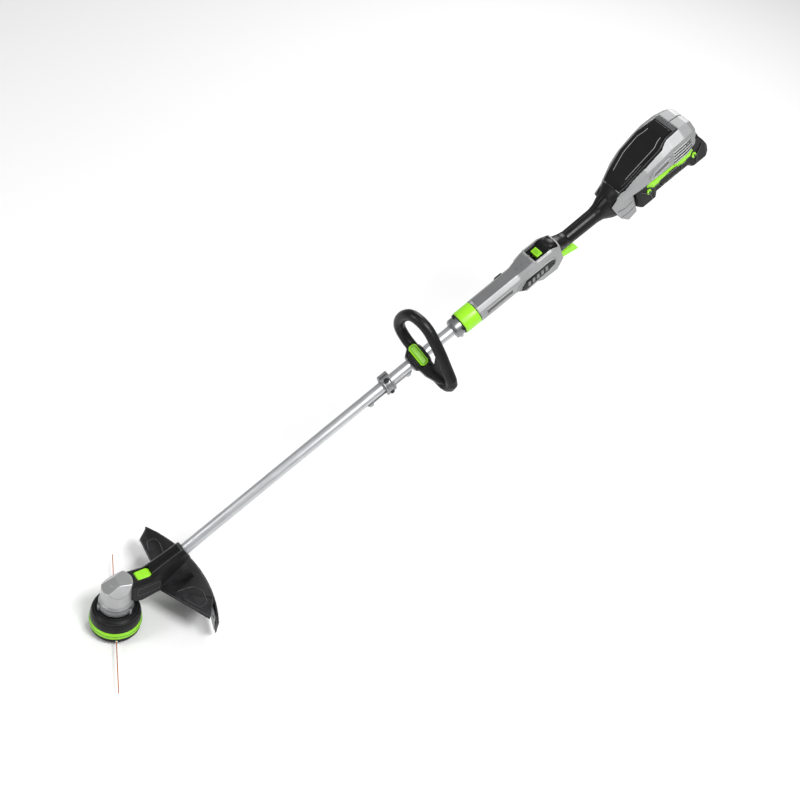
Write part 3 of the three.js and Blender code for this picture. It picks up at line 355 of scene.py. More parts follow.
# ---------------------------------------------------------------------------
# Cutting head. Glass-filled nylon bell and lower cover with a coloured ring
# snapped round them; aluminium eyelets where the line comes out.
# ---------------------------------------------------------------------------
nylon = Finish("moulded_nylon", (0.0055, 0.0055, 0.006), 0.38)
# The nylon's edges go lighter grey: partly wear, partly a painted highlight.
nylon.mottled((0.010, 0.010, 0.011), 30).worn_and_highlit((0.05, 0.05, 0.053), 0.5).patchy(0.07, 25)
nylon.grained(1100, 0.35, 0.00015).set(specular_ior_level=0.18)
lime = Finish("lime_plastic", (0.31, 0.74, 0.014), 0.36)
lime.mottled((0.24, 0.64, 0.010), 25, 0.5).patchy(0.06, 30).grained(1400, 0.12, 0.0001)
lime.set(subsurface_weight=0.08)
lime.shader.inputs["Subsurface Radius"].default_value = (0.002, 0.003, 0.001)
# A darker lime: painted shade in the head band's groove and between the ribs and ticks of the lever, slide
# and trigger.
painted_shade_lime = Finish("painted_shade_lime", (0.12, 0.34, 0.006), 0.4)
painted_shade_lime.mottled((0.10, 0.28, 0.005), 25, 0.5).patchy(0.06, 30).grained(1400, 0.12, 0.0001)
shaped("head_upper_cap", nylon, bevel=0.0008, angle=28)
shaped("head_band", lime, bevel=0.0006, angle=28)
shaped("head_lower_cover", nylon, bevel=0.0008, angle=28)


def skin_of(*names):
    """The surface of carried-over solids, for seating trims on."""
    points, faces = [], []
    for name in names:
        mesh = nodes[name].data
        start = len(points)
        points += [v.co.copy() for v in mesh.vertices]
        faces += [[start + i for i in p.vertices] for p in mesh.polygons]
    return BVHTree.FromPolygons(points, faces)


def turned_ring(name, profile, body, finish):
    """A ring turned about the head's axis, from [radius, height] pairs that close on themselves."""
    turns = [2 * math.pi * k / 96 for k in range(96)]
    rings = [[Vector((r * math.cos(a), r * math.sin(a), z)) for a in turns] for r, z in profile]
    linked(name, skin(rings, closed_ends=False, ring_loop=True), body, finish)


def ridge_on_top(surface, radius, width):
    """A ridge's profile, seated where a line straight down at this radius meets the surface."""
    seat = surface.ray_cast(Vector((radius, 0, 0.2)), Vector((0, 0, -1)))[0].z
    return [(radius - width / 2, seat - 0.0012), (radius - width / 4, seat + 0.0014),
            (radius + width / 4, seat + 0.0014), (radius + width / 2, seat - 0.0012)]


def bead_round(surface, height, width):
    """A bead's profile, seated where a level line at this height meets the surface."""
    seat = surface.ray_cast(Vector((0.2, 0, height)), Vector((-1, 0, 0)))[0].x
    return [(seat - 0.0008, height - width / 2), (seat + 0.0007, height - width / 4),
            (seat + 0.0007, height + width / 4), (seat - 0.0008, height + width / 2)]


cap_skin = skin_of("head_upper_cap")
for k, radius in enumerate((0.0400, 0.0455, 0.0505)):
    ridge = ridge_on_top(cap_skin, radius, 0.0022)
    turned_ring(f"head_cap_ridge_{k + 1}", ridge, "head", nylon)
band_skin = skin_of("head_band")
band_low, band_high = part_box("head_band")[0][2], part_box("head_band")[1][2]
# The middle bead is in the darker lime, as painted shade in the band's groove.
for k, (share, finish) in enumerate(((0.12, lime), (0.5, painted_shade_lime), (0.88, lime))):
    level = band_low + (band_high - band_low) * share
    bead = bead_round(band_skin, level, 0.0020)
    turned_ring(f"head_band_bead_{k + 1}", bead, "head", finish)
bright_alloy = Finish("turned_alloy", (0.66, 0.67, 0.69), 0.25, 1.0)
bright_alloy.mottled((0.52, 0.53, 0.55), 200, 0.5).patchy(0.05, 150).grained(1800, 0.2, 0.0001)
for name in ("eyelet_near", "eyelet_far"):
    shaped(name, bright_alloy, bevel=0.0003, angle=35)
shaped("spool", nylon, bevel=0.0005, angle=35)
shaped("wound_line", line_nylon, bevel=0.0005, angle=35)
shaped("bump_knob", nylon, bevel=0.0008, angle=28)
steel = Finish("plated_steel", (0.56, 0.57, 0.58), 0.28, 1.0)
steel.mottled((0.42, 0.43, 0.44), 120, 0.5).patchy(0.07, 60).grained(1600, 0.15, 0.0001)
shaped("bump_spring", steel, bevel=0.0002, angle=60)
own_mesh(nodes["bump_spring"])

# ---------------------------------------------------------------------------
# Motor. Die-cast base ring with three screw lugs, and a painted plastic dome
# with a flat crown; the windings, rotor and bearings are inside.
# ---------------------------------------------------------------------------
cast_alloy = Finish("cast_alloy", (0.30, 0.305, 0.31), 0.40, 0.9)
cast_alloy.mottled((0.20, 0.205, 0.21), 45, 0.6).worn_and_highlit((0.55, 0.56, 0.57), 0.5).patchy(0.08, 40)
cast_alloy.grained(500, 0.35, 0.0002)
shaped("motor_base", cast_alloy, bevel=0.0007, angle=28)
dome_paint = Finish("dome_paint", (0.44, 0.442, 0.446), 0.36, 0.85)
dome_paint.mottled((0.39, 0.392, 0.396), 18, 0.5).worn_and_highlit((0.62, 0.622, 0.626), 0.45).patchy(0.05, 22)
dome_paint.grained(1300, 0.2, 0.00012)
shaped("motor_dome", dome_paint, voxel=0.0008, passes=3)
copper = Finish("bare_copper", (0.62, 0.29, 0.14), 0.34, 1.0)
copper.mottled((0.45, 0.19, 0.09), 160, 0.7).patchy(0.08, 90).grained(1500, 0.5, 0.0002, (1, 1, 0.1))
shaped("stator", copper, bevel=0.0005, angle=35)
for name in ("bearing_lower", "bearing_upper", "rotor", "motor_shaft"):
    shaped(name, steel, bevel=0.0005, angle=35)

# ---------------------------------------------------------------------------
# Arm. Two nylon half shells that hold the motor's tongue and clamp the tube,
# with a coloured cap over the wiring port.
# ---------------------------------------------------------------------------
tube_foot = 0.0703


def along_tube(t, left, out):
    """A point from its station on the tube, its offset to the operator's left and its height off the tube."""
    return Vector(
        (
            -t * math.cos(tube_slope) + out * math.sin(tube_slope),
            left,
            tube_foot + t * math.sin(tube_slope) + out * math.cos(tube_slope),
        )
    )


def direction_on_tube(t, left, out):
    """A unit direction in the tube's own frame."""
    return (along_tube(t, left, out) - along_tube(0, 0, 0)).normalized()


def seen_from_above(points, out):
    """A line of [station, offset to the left] points, held at one height off the tube."""
    return [along_tube(t, y, out) for t, y in points]


def seen_from_side(points, left):
    """A line of [station, height] points, held at one offset to the left."""
    return [along_tube(t, left, w) for t, w in points]


def smoothed(points, passes):
    """An even line through the given points with its corners eased."""
    step = 0.003
    even = []
    for a, b in zip(points, points[1:]):
        count = max(1, round((b - a).length / step))
        even += [a.lerp(b, k / count) for k in range(count)]
    even.append(points[-1])
    for _ in range(passes):
        even = (
            [even[0]]
            + [(a + b * 2 + c) / 4 for a, b, c in zip(even, even[1:], even[2:])]
            + [even[-1]]
        )
    return even


def eased(normals):
    """Normals with each drawn a little towards its neighbours."""
    between = zip(normals, normals[1:], normals[2:])
    return [normals[0]] + [(a + b * 2 + c).normalized() for a, b, c in between] + [normals[-1]]


def landed(point, surface, toward):
    """Where a point drops onto a surface, or the nearest place on it if it would miss."""
    stand_off, fall = 0.12, 0.3
    hit, normal, _, _ = surface.ray_cast(point - toward * stand_off, toward, fall)
    if hit is None:
        hit, normal, _, _ = surface.find_nearest(point)
    return hit, normal


def ribs(name, lines, surface, toward, width, height, body, finish, passes=3):
    """Raised ribs laid on a surface: each line is dropped onto it and swept with a rounded section."""
    profile = [(-1, -1), (-0.86, 0.45), (-0.5, 0.93), (0, 1), (0.5, 0.93), (0.86, 0.45), (1, -1)]
    sink = 0.0008
    whole = bmesh.new()
    for line in lines:
        points, normals = [], []
        for point in smoothed(line, passes):
            hit, normal = landed(point, surface, toward)
            points.append(hit)
            normals.append(-normal if normal.dot(toward) > 0 else normal)
        for _ in range(3):
            normals = eased(normals)
        rings = []
        last = len(points) - 1
        for k, (point, normal) in enumerate(zip(points, normals)):
            along = (points[min(k + 1, last)] - points[max(k - 1, 0)]).normalized()
            side = along.cross(normal).normalized()
            taper = min(1, 0.25 + k / 2, 0.25 + (last - k) / 2)
            ring = []
            for across, up in profile:
                rise = height * taper * up if up > 0 else -sink
                ring.append(point + side * across * width / 2 + normal * rise)
            rings.append(ring)
        whole.from_mesh(skin(rings))
    mesh = bpy.data.meshes.new(name)
    whole.to_mesh(mesh)
    whole.free()
    linked(name, mesh, body, finish)


down = direction_on_tube(0, 0, -1)
from_left = Vector((0, -1, 0))
from_right = Vector((0, 1, 0))
both_sides = (("left", from_left, 1), ("right", from_right, -1))
# A lighter nylon for ridges, rims and case lines: a painted highlight where their edges catch the light.
painted_highlight_nylon = Finish("painted_highlight_nylon", (0.030, 0.030, 0.032), 0.32)
painted_highlight_nylon.mottled((0.045, 0.045, 0.047), 60, 0.6).patchy(0.08, 50).grained(1300, 0.25, 0.0001)
for name in ("arm_shell_left", "arm_shell_right"):
    shaped(name, nylon, voxel=0.001, passes=8)
shaped("arm_cap", lime, voxel=0.0006, passes=8)
arm_skin = skin_of("arm_shell_left", "arm_shell_right")
ribs(
    "arm_ridges",
    [seen_from_above(((0.104, y), (0.150, y * 0.9), (0.185, y * 0.85)), 0.03) for y in (-0.0125, 0.0125)],
    arm_skin, down, 0.0024, 0.0012, "frame", painted_highlight_nylon,
)
ribs(
    "arm_socket_lip",
    [[along_tube(0.183, y, 0.03) for y in (-0.0115, -0.006, 0, 0.006, 0.0115)]],
    arm_skin, down, 0.004, 0.0012, "frame", painted_highlight_nylon,
)
cap_step = [(0.0700, -0.0085), (0.0880, -0.0085), (0.0880, 0.0085), (0.0700, 0.0085), (0.0700, -0.0085)]
ribs(
    "arm_cap_step", [seen_from_above(cap_step, 0.06)],
    skin_of("arm_cap"), down, 0.0016, 0.0008, "frame", lime, passes=2,
)
side_frame = [(-0.038, 0.124), (-0.092, 0.122), (-0.092, 0.101), (-0.038, 0.104), (-0.038, 0.124)]
for side, seen, sign in both_sides:
    ribs(
        f"arm_side_frame_{side}", [[Vector((x, 0.04 * sign, z)) for x, z in side_frame]],
        arm_skin, seen, 0.0016, 0.0007, "frame", painted_highlight_nylon, passes=1,
    )

# ---------------------------------------------------------------------------
# Guard. One moulding with a curved skirt behind the head, ribbed underneath,
# held to the arm by two screws; a steel blade trims the line.
# ---------------------------------------------------------------------------
shaped("guard", nylon, bevel=0.0008, angle=28)
shaped("cutter_blade", steel, bevel=0.0003, angle=28)
guard_skin = skin_of("guard")
straight_down = Vector((0, 0, -1))
skirt_top = 0.081
contours = [
    [(-0.128, -0.040), (-0.150, -0.052), (-0.163, -0.108), (-0.158, -0.124), (-0.138, -0.122),
     (-0.131, -0.100)],
    [(-0.128, 0.036), (-0.166, 0.040), (-0.178, 0.060), (-0.172, 0.092), (-0.150, 0.100), (-0.132, 0.060)],
    [(-0.200, -0.040), (-0.200, 0.000), (-0.194, 0.070)],
]
ribs(
    "guard_contours",
    [[Vector((x, y, skirt_top)) for x, y in line] for line in contours],
    guard_skin, straight_down, 0.0022, 0.0009, "frame", painted_highlight_nylon, passes=5,
)
edge_line = [
    (-0.1015, -0.0185), (-0.1195, -0.064), (-0.1290, -0.135), (-0.1590, -0.1600),
    (-0.1735, -0.135), (-0.1885, -0.090), (-0.1985, -0.040), (-0.2015, 0.0), (-0.1985, 0.040),
    (-0.1900, 0.085), (-0.1560, 0.1320), (-0.1030, 0.0205),
]
ribs(
    "guard_rim",
    [[Vector((x, y, skirt_top)) for x, y in edge_line]],
    guard_skin, straight_down, 0.0026, 0.0011, "frame", painted_highlight_nylon, passes=1,
)
for name in ("guard_screw_1", "guard_screw_2", "blade_screw_1", "blade_screw_2"):
    shaped(name, steel, bevel=0.0003, angle=35)

# ---------------------------------------------------------------------------
# Strap clamp and its sliding sleeve. Cast alloy half rings drawn together by
# two socket screws; the sleeve's two stops limit how far the clamp slides.
# ---------------------------------------------------------------------------
for name in ("strap_clamp_left", "strap_clamp_right", "limit_sleeve"):
    shaped(name, cast_alloy, bevel=0.0006, angle=28)
blackened = Finish("blackened_steel", (0.035, 0.035, 0.037), 0.35, 0.9)
blackened.mottled((0.06, 0.06, 0.062), 150, 0.6).patchy(0.08, 90).grained(1500, 0.2, 0.0001)


def lobed_head(name, seat, toward, radius, body, finish, rise):
    """A pan head with a six-lobed recess, its underside at the seat."""
    out = -toward.normalized()
    side = out.orthogonal().normalized()
    other = out.cross(side)
    count = 36

    def ring(scale, height, lobes=0.0):
        points = []
        for k in range(count):
            a = 2 * math.pi * k / count
            r = radius * scale * (1 + lobes * math.cos(6 * a))
            points.append(seat + side * r * math.cos(a) + other * r * math.sin(a) + out * height)
        return points

    rings = [
        ring(1, -0.0004), ring(1, rise * 0.45), ring(0.94, rise * 0.72), ring(0.80, rise * 0.92),
        ring(0.62, rise), ring(0.46, rise * 1.0, 0.14), ring(0.43, rise * 0.9, 0.14),
        ring(0.42, rise * 0.1, 0.14), ring(0.20, rise * 0.02),
    ]
    linked(name, skin(rings), body, finish)


def round_tube(name, stations, body, finish):
    """A turned sleeve on the tube's axis, from [station, radius] pairs that close on themselves."""
    turns = [2 * math.pi * k / 72 for k in range(72)]
    rings = [[along_tube(t, r * math.sin(a), r * math.cos(a)) for a in turns] for t, r in stations]
    linked(name, skin(rings, closed_ends=False, ring_loop=True), body, finish)


for name, out in (("clamp_screw_upper", 0.023), ("clamp_screw_lower", -0.023)):
    shaped(name, blackened, bevel=0.0004, angle=35)
    seat = along_tube(0.760, 0.0128, out)
    lobed_head(f"{name}_head", seat, from_left, 0.0050, "frame", blackened, rise=0.0008)
clamp_skin = skin_of("strap_clamp_left", "strap_clamp_right")
ring_turns, ring_reach = (0.55, 0.9, 1.3, 1.7, 2.1, 2.5), 0.026
ribs(
    "clamp_ring_ridges",
    [[along_tube(t, ring_reach * math.sin(a), ring_reach * math.cos(a)) for a in ring_turns]
     for t in (0.7505, 0.7695)],
    clamp_skin, from_left, 0.0028, 0.0011, "frame", cast_alloy,
)
for k, t in enumerate((0.7488, 0.7669)):
    flange = [
        (t, 0.0168), (t, 0.0216), (t + 0.0009, 0.0226), (t + 0.0034, 0.0226), (t + 0.0043, 0.0216),
        (t + 0.0043, 0.0168),
    ]
    round_tube(f"clamp_flange_{k + 1}", flange, "frame", cast_alloy)
ribs(
    "sleeve_edge_ridges",
    [[along_tube(t, 0.03, -0.0075) for t in (0.700, 0.740, 0.780, 0.818)]],
    skin_of("limit_sleeve"), from_left, 0.0026, 0.0009, "frame", cast_alloy,
)

# ---------------------------------------------------------------------------
# Loop handle. Soft rubber over a stiff core, moulded in one with its saddle;
# a nylon strap closes round the tube and a lime lever locks it.
# ---------------------------------------------------------------------------
rubber = Finish("soft_rubber", (0.006, 0.006, 0.0065), 0.34)
rubber.set(specular_ior_level=0.25)
rubber.mottled((0.010, 0.010, 0.011), 24).worn_and_highlit((0.03, 0.03, 0.032), 0.4).patchy(0.08, 20)
rubber.grained(800, 0.45, 0.00015)
shaped("loop_handle", rubber, voxel=0.0014, passes=10)
shaped("handle_clamp", nylon, voxel=0.001, passes=6)
shaped("handle_lever", lime, voxel=0.0007, passes=8)
roll = math.radians(35)


def on_handle(t, across, out):
    """A point on the handle before it is rolled to the left: across is to the operator's right."""
    turned_y = across * math.cos(roll) - out * math.sin(roll)
    turned_w = across * math.sin(roll) + out * math.cos(roll)
    return along_tube(t, -turned_y, turned_w)


onto_handle = (on_handle(0, 0, -1) - on_handle(0, 0, 0)).normalized()
lever_skin = skin_of("handle_lever")
lever_frame = [(0.8450, -0.0175), (0.8580, -0.0175), (0.8580, 0.0275), (0.8450, 0.0275), (0.8450, -0.0175)]
ribs(
    "lever_frame", [[on_handle(t, y, 0.04) for t, y in lever_frame]],
    lever_skin, onto_handle, 0.0015, 0.0007, "lever", painted_shade_lime, passes=2,
)
ribs(
    "lever_ticks",
    [[on_handle(t, y, 0.04) for t in (0.8475, 0.8555)] for y in (0.0125, 0.0160, 0.0195, 0.0230)],
    lever_skin, onto_handle, 0.0012, 0.0006, "lever", lime, passes=0,
)
web_outline = [
    (-0.024, 0.016), (-0.033, 0.031), (-0.033, 0.050), (-0.024, 0.068), (-0.018, 0.084),
    (-0.055, 0.068), (-0.080, 0.053), (-0.091, 0.043), (-0.091, 0.030), (-0.086, 0.022), (-0.060, 0.015),
]
loop_station, lean = 0.848, math.radians(22.5)
web_sides = [
    [on_handle(loop_station + out * math.sin(lean) + offset, y, out * math.cos(lean))
     for y, out in web_outline]
    for offset in (-0.0075, 0.0045)
]
handle_web = linked("handle_web", skin(web_sides), "handle", rubber, smooth=False)
rounded(handle_web, 0.0025, 3, 40, 40)
saddle_edges = [
    [(0.831, 0.014), (0.832, -0.012), (0.836, -0.040), (0.846, -0.068)],
    [(0.8385, 0.030), (0.8375, 0.004), (0.8375, -0.022)],
]
ribs(
    "handle_saddle_edges", [[on_handle(t, y, 0.05) for t, y in edge] for edge in saddle_edges],
    skin_of("loop_handle"), onto_handle, 0.0024, 0.0010, "handle", rubber,
)

# ---------------------------------------------------------------------------
# Ferrule and collar. A cast coupling with a cross screw clamps the tube's
# end, under a moulded lime sleeve held between two dark seals and four lugs.
# ---------------------------------------------------------------------------
shaped("shaft_ferrule", cast_alloy, bevel=0.0006, angle=28)
shaped("ferrule_screw", steel, bevel=0.0004, angle=35)
shaped("collar_band", lime, bevel=0.0006, angle=28)
# Near black for the collar's seals, and also laid in the vent wells as painted shade.
shadow_black = Finish("seam_and_painted_shade_black", (0.01, 0.01, 0.01), 0.6)
shadow_black.mottled((0.02, 0.02, 0.02), 80).patchy(0.08, 50).grained(900, 0.2, 0.0001)
shadow_black.set(specular_ior_level=0.15)
for name, stations in (
    ("collar_front_seal", [(0.9705, 0.0215), (0.9705, 0.0242), (0.9718, 0.0250), (0.9722, 0.0215)]),
    ("collar_rear_seal", [(1.0150, 0.0215), (1.0155, 0.0262), (1.0172, 0.0262), (1.0178, 0.0215)]),
):
    round_tube(name, stations, "frame", shadow_black)
silver = Finish("silver_plastic", (0.34, 0.342, 0.346), 0.46, 0.45)
silver.mottled((0.29, 0.292, 0.296), 18, 0.5).worn_and_highlit((0.55, 0.553, 0.558), 0.45).patchy(0.05, 22)
silver.grained(1300, 0.22, 0.00012)
lug_outline = [(-1, -0.7), (-0.7, -1), (0.7, -1), (1, -0.7), (1, 0.7), (0.7, 1), (-0.7, 1), (-1, 0.7)]
lug_steps = ((0, 1), (0.0048, 1), (0.0058, 0.8), (0.0060, 0.5))
along = direction_on_tube(1, 0, 0)
for k, (t, y, w, finish, slot) in enumerate((
    (1.0190, 0.0235, -0.0105, silver, "silver"),
    (1.0190, -0.0085, 0.0245, silver, "silver"),
    (0.9690, -0.0105, 0.0230, nylon, "black"),
    (0.9690, 0.0235, 0.0095, nylon, "black"),
)):
    radial = (along_tube(0, y, w) - along_tube(0, 0, 0)).normalized()
    across = radial.cross(along).normalized()
    foot = along_tube(t, 0, 0) + radial * 0.0215
    rings = [
        [foot + radial * rise + along * 0.0036 * grow * a + across * 0.0045 * grow * b
         for a, b in lug_outline]
        for rise, grow in lug_steps
    ]
    linked(f"collar_lug_{k + 1}", skin(rings), "frame", finish)
seat = along_tube(0.962, 0.0128, -0.0265)
lobed_head("ferrule_screw_head", seat, from_left, 0.0040, "frame", steel, rise=0.0008)

# ---------------------------------------------------------------------------
# Trigger housing. Two silver-painted half shells screwed together, with dark
# badges, a lock-off slide in a black bezel, and the trigger below.
# ---------------------------------------------------------------------------
for name in ("control_housing_left", "control_housing_right"):
    shaped(name, silver, voxel=0.0011, passes=9)
for name in ("side_badge_left", "side_badge_right"):
    shaped(name, nylon, bevel=0.0004, angle=28)
gloss_black = Finish("gloss_black", (0.006, 0.006, 0.0065), 0.22)
gloss_black.mottled((0.010, 0.010, 0.011), 20).patchy(0.05, 18).grained(1500, 0.08, 0.0001)
gloss_black.set(specular_ior_level=0.3)
# A dark grey for trim, also used as painted shade on the side slots' floors and in the foot grooves.
grey_trim_and_painted_shade = Finish("grey_trim_and_painted_shade", (0.13, 0.132, 0.135), 0.38, 0.6)
grey_trim_and_painted_shade.mottled((0.10, 0.102, 0.105), 40, 0.5).patchy(0.05, 60).grained(1300, 0.2, 0.0001)
grey_silver = Finish("grey_silver", (0.24, 0.242, 0.246), 0.42, 0.6)
grey_silver.mottled((0.20, 0.202, 0.206), 24, 0.5).patchy(0.06, 30).grained(1300, 0.25, 0.00012)


def inlay(name, outline, surface, toward, lift, thickness, body, finish, bevel, cuts):
    """A thin panel that follows a surface: the outline is filled, dropped onto it and given thickness."""
    mesh = bpy.data.meshes.new(name)
    bm = bmesh.new()
    bm.faces.new([bm.verts.new(p) for p in outline])
    bmesh.ops.triangulate(bm, faces=bm.faces[:])
    for _ in range(cuts):
        bmesh.ops.subdivide_edges(bm, edges=bm.edges[:], cuts=1, use_grid_fill=True)
    for vertex in bm.verts:
        vertex.co = landed(vertex.co, surface, toward)[0] - toward * lift
    bmesh.ops.recalc_face_normals(bm, faces=bm.faces[:])
    if sum(f.normal.dot(toward) for f in bm.faces) > 0:
        bmesh.ops.reverse_faces(bm, faces=bm.faces[:])
    bm.to_mesh(mesh)
    bm.free()
    piece = linked(name, mesh, body, finish)
    thick = piece.modifiers.new("thickness", "SOLIDIFY")
    thick.thickness = thickness
    thick.offset = -1
    rounded(piece, bevel, 2, 50, 40)


control_skin = skin_of("control_housing_left", "control_housing_right")
badge_face = [
    (1.1300, -0.0160), (1.1350, -0.0060), (1.1480, 0.0010), (1.2050, 0.0050), (1.2230, 0.0030),
    (1.2320, -0.0045), (1.2250, -0.0125), (1.2060, -0.0170), (1.1480, -0.0205), (1.1350, -0.0205),
]
badge_rim = [
    (1.1190, -0.0160), (1.1280, -0.0030), (1.1470, 0.0045), (1.2060, 0.0088), (1.2270, 0.0062),
    (1.2370, -0.0045), (1.2280, -0.0165), (1.2070, -0.0212), (1.1480, -0.0252), (1.1280, -0.0248),
    (1.1190, -0.0160),
]
bar_half = 0.0060
bar_outline = [(-0.0050, -bar_half), (0.0022, -bar_half), (0.0050, bar_half), (-0.0022, bar_half)]
slot_floor = [(1.0360, -0.0056), (1.1100, -0.0056), (1.1100, 0.0063), (1.0360, 0.0063)]
slot_edges = [
    [(1.0330, 0.0085), (1.1120, 0.0085)],
    [(1.0330, -0.0078), (1.1120, -0.0078)],
    [(1.0330, -0.0078), (1.0330, 0.0085)],
]
crease = [(1.140, 0.026), (1.164, 0.030), (1.182, 0.033)]
for side, seen, sign in both_sides:
    y = 0.06 * sign
    badge_skin = skin_of(f"side_badge_{side}", "control_housing_left", "control_housing_right")
    inlay(
        f"badge_face_{side}", seen_from_side(badge_face, y), badge_skin, seen,
        0.0012, 0.0018, "frame", gloss_black, 0.0004, 3,
    )
    for k, t in enumerate((1.1520, 1.1650, 1.1780, 1.1910, 1.2040)):
        w = -0.0095 + (t - 1.15) * 0.06
        bar = seen_from_side([(t + dt, w + dw) for dt, dw in bar_outline], y)
        inlay(
            f"badge_bar_{side}_{k + 1}", bar, badge_skin, seen,
            0.0016, 0.0008, "frame", grey_silver, 0.0002, 1,
        )
    ribs(
        f"badge_rim_{side}", [seen_from_side(badge_rim, y)], badge_skin, seen,
        0.0034, 0.0018, "frame", silver,
    )
    ribs(
        f"slot_rim_{side}", [seen_from_side(edge, y) for edge in slot_edges], control_skin, seen,
        0.0028, 0.0018, "frame", silver,
    )
    # The slot floor is in dark grey: painted shade in the recess.
    inlay(
        f"slot_floor_{side}", seen_from_side(slot_floor, y), control_skin, seen,
        0.0004, 0.0007, "frame", grey_trim_and_painted_shade, 0.0001, 3,
    )
    ribs(
        f"shoulder_crease_{side}", [seen_from_side(crease, y * 0.42)], control_skin, down,
        0.0030, 0.0009, "frame", silver,
    )
# A darker silver over the housing's top face: painted shade, so the top reads darker than the sides.
top_painted_shade = [
    (1.0230, -0.0125), (1.1300, -0.0125), (1.1560, -0.0170), (1.1800, -0.0190), (1.1800, 0.0190),
    (1.1560, 0.0170), (1.1300, 0.0125), (1.0230, 0.0125),
]
inlay(
    "control_top_panel", seen_from_above(top_painted_shade, 0.06), control_skin, down,
    0.0006, 0.0010, "frame", grey_silver, 0.0003, 4,
)
far_clip = [(1.0960, 0.0080), (1.1000, 0.0150), (1.1180, 0.0150), (1.1220, 0.0080)]
inlay(
    "control_far_clip", seen_from_side(far_clip, -0.06), control_skin, from_right,
    0.0035, 0.0045, "frame", nylon, 0.0010, 3,
)
bezel_edges = [
    [(1.1835, 0.0234), (1.2180, 0.0236)],
    [(1.1835, -0.0234), (1.2180, -0.0236)],
    [(1.1835, -0.0232), (1.1835, 0), (1.1835, 0.0232)],
]
ribs(
    "bezel_rim", [seen_from_above(edge, 0.06) for edge in bezel_edges], control_skin, down,
    0.0024, 0.0009, "frame", silver,
)
for number, t, w in ((1, 1.0300, -0.0150), (3, 1.2280, -0.0400)):
    seat = control_skin.ray_cast(along_tube(t, -0.09, w), from_right, 0.2)[0]
    lobed_head(f"housing_screw_{number}", seat, from_right, 0.0032, "frame", blackened, rise=0.0009)


def oval_sleeve(name, stations, power):
    """A rubber sleeve on the tube's line, from (station, half width, low, high); a lower power is squarer."""
    def bulge(value):
        return math.copysign(abs(value) ** power, value)

    rings = []
    for t, half, low, high in stations:
        middle, rise = (low + high) / 2, (high - low) / 2
        ring = []
        for k in range(48):
            c, s = math.cos(2 * math.pi * k / 48), math.sin(2 * math.pi * k / 48)
            ring.append(along_tube(t, half * bulge(c), middle + rise * bulge(s)))
        rings.append(ring)
    linked(name, skin(rings), "frame", rubber)


oval_sleeve("grip_neck", [
    (1.2250, 0.0140, 0.0160, 0.0300), (1.2330, 0.0165, 0.0120, 0.0345),
    (1.2420, 0.0180, 0.0060, 0.0330), (1.2520, 0.0186, -0.0020, 0.0265),
    (1.2620, 0.0186, -0.0100, 0.0205), (1.2740, 0.0178, -0.0200, 0.0160),
    (1.2860, 0.0168, -0.0220, 0.0135),
], power=0.85)
shaped("lock_off_bezel", nylon, voxel=0.0008, passes=6)
ribs(
    "slide_ticks",
    [[along_tube(t, y, 0.06) for y in (-0.0095, 0, 0.0095)] for t in (1.2020, 1.2045, 1.2070, 1.2095)],
    skin_of("lock_off_slide"), down, 0.0012, 0.0009, "lock_slide", painted_shade_lime, passes=0,
)
ribs(
    "trigger_ticks",
    [[along_tube(t, y, -0.02) for y in (-0.0055, 0, 0.0055)] for t in (1.270, 1.277, 1.284, 1.291)],
    skin_of("trigger"), -down, 0.0014, 0.0008, "trigger", painted_shade_lime, passes=0,
)
shaped("lock_off_slide", lime, voxel=0.0005, passes=6)
shaped("trigger", lime, voxel=0.0007, passes=6)
for name in ("trigger_pin", "trigger_spring"):
    shaped(name, steel, bevel=0.0002, angle=50)
shaped("trigger_switch", nylon, bevel=0.0008, angle=28)

# ---------------------------------------------------------------------------
# Rear grip. Two half shells covered in soft rubber, which flare out into the
# battery housing; thirteen low ribs underneath keep the hand from slipping.
# ---------------------------------------------------------------------------
for name in ("rear_grip_left", "rear_grip_right"):
    shaped(name, rubber, voxel=0.001, passes=10)
ribs(
    "grip_underside_ribs",
    [[along_tube(1.290 + 0.006 * k, 0.0125 * math.sin(a), -0.01 - 0.02 * math.cos(a))
      for a in (-1.0, -0.5, 0, 0.5, 1.0)] for k in range(13)],
    skin_of("rear_grip_left", "rear_grip_right"), -down,
    0.0024, 0.0008, "frame", rubber, passes=1,
)

# ---------------------------------------------------------------------------
# Battery housing. Two silver half shells with side vents, a dark lid on top
# and a foot that protects the battery's front.
# ---------------------------------------------------------------------------
for name in ("battery_housing_left", "battery_housing_right"):
    shaped(name, silver, voxel=0.0013, passes=10)
shaped("housing_top_cover", nylon, voxel=0.0012, passes=10)
lid_skin = skin_of("housing_top_cover")
lid_panel = [
    (1.443, 0.0235), (1.462, 0.0285), (1.500, 0.0335), (1.549, 0.0345), (1.567, 0.0275), (1.597, 0.0250),
]
lid_panel += [(t, -y) for t, y in reversed(lid_panel)]
inlay(
    "lid_panel", seen_from_above(lid_panel, 0.12), lid_skin, down,
    0.0014, 0.0022, "frame", gloss_black, 0.0007, 4,
)
lid_edge = [
    (1.433, 0.0255), (1.447, 0.0305), (1.500, 0.0375), (1.551, 0.0385), (1.571, 0.0315), (1.610, 0.0290),
]
lid_rear = [(1.610, -0.029), (1.610, 0), (1.610, 0.029)]
ribs(
    "lid_rim",
    [seen_from_above([(t, y * sign) for t, y in lid_edge], 0.12) for sign in (1, -1)]
    + [seen_from_above(lid_rear, 0.12)],
    lid_skin, down, 0.0022, 0.0010, "frame", painted_highlight_nylon,
)
pinstripe = [(1.458, 0.0200), (1.500, 0.0265), (1.546, 0.0275), (1.561, 0.0215), (1.574, 0.0205)]
ribs(
    "lid_pinstripe",
    [seen_from_above([(t, y * sign) for t, y in pinstripe], 0.12) for sign in (1, -1)],
    lid_skin, down, 0.0013, 0.0026, "frame", silver,
)
rear_bar = [(1.600, -0.0285), (1.609, -0.0285), (1.609, 0.0285), (1.600, 0.0285)]
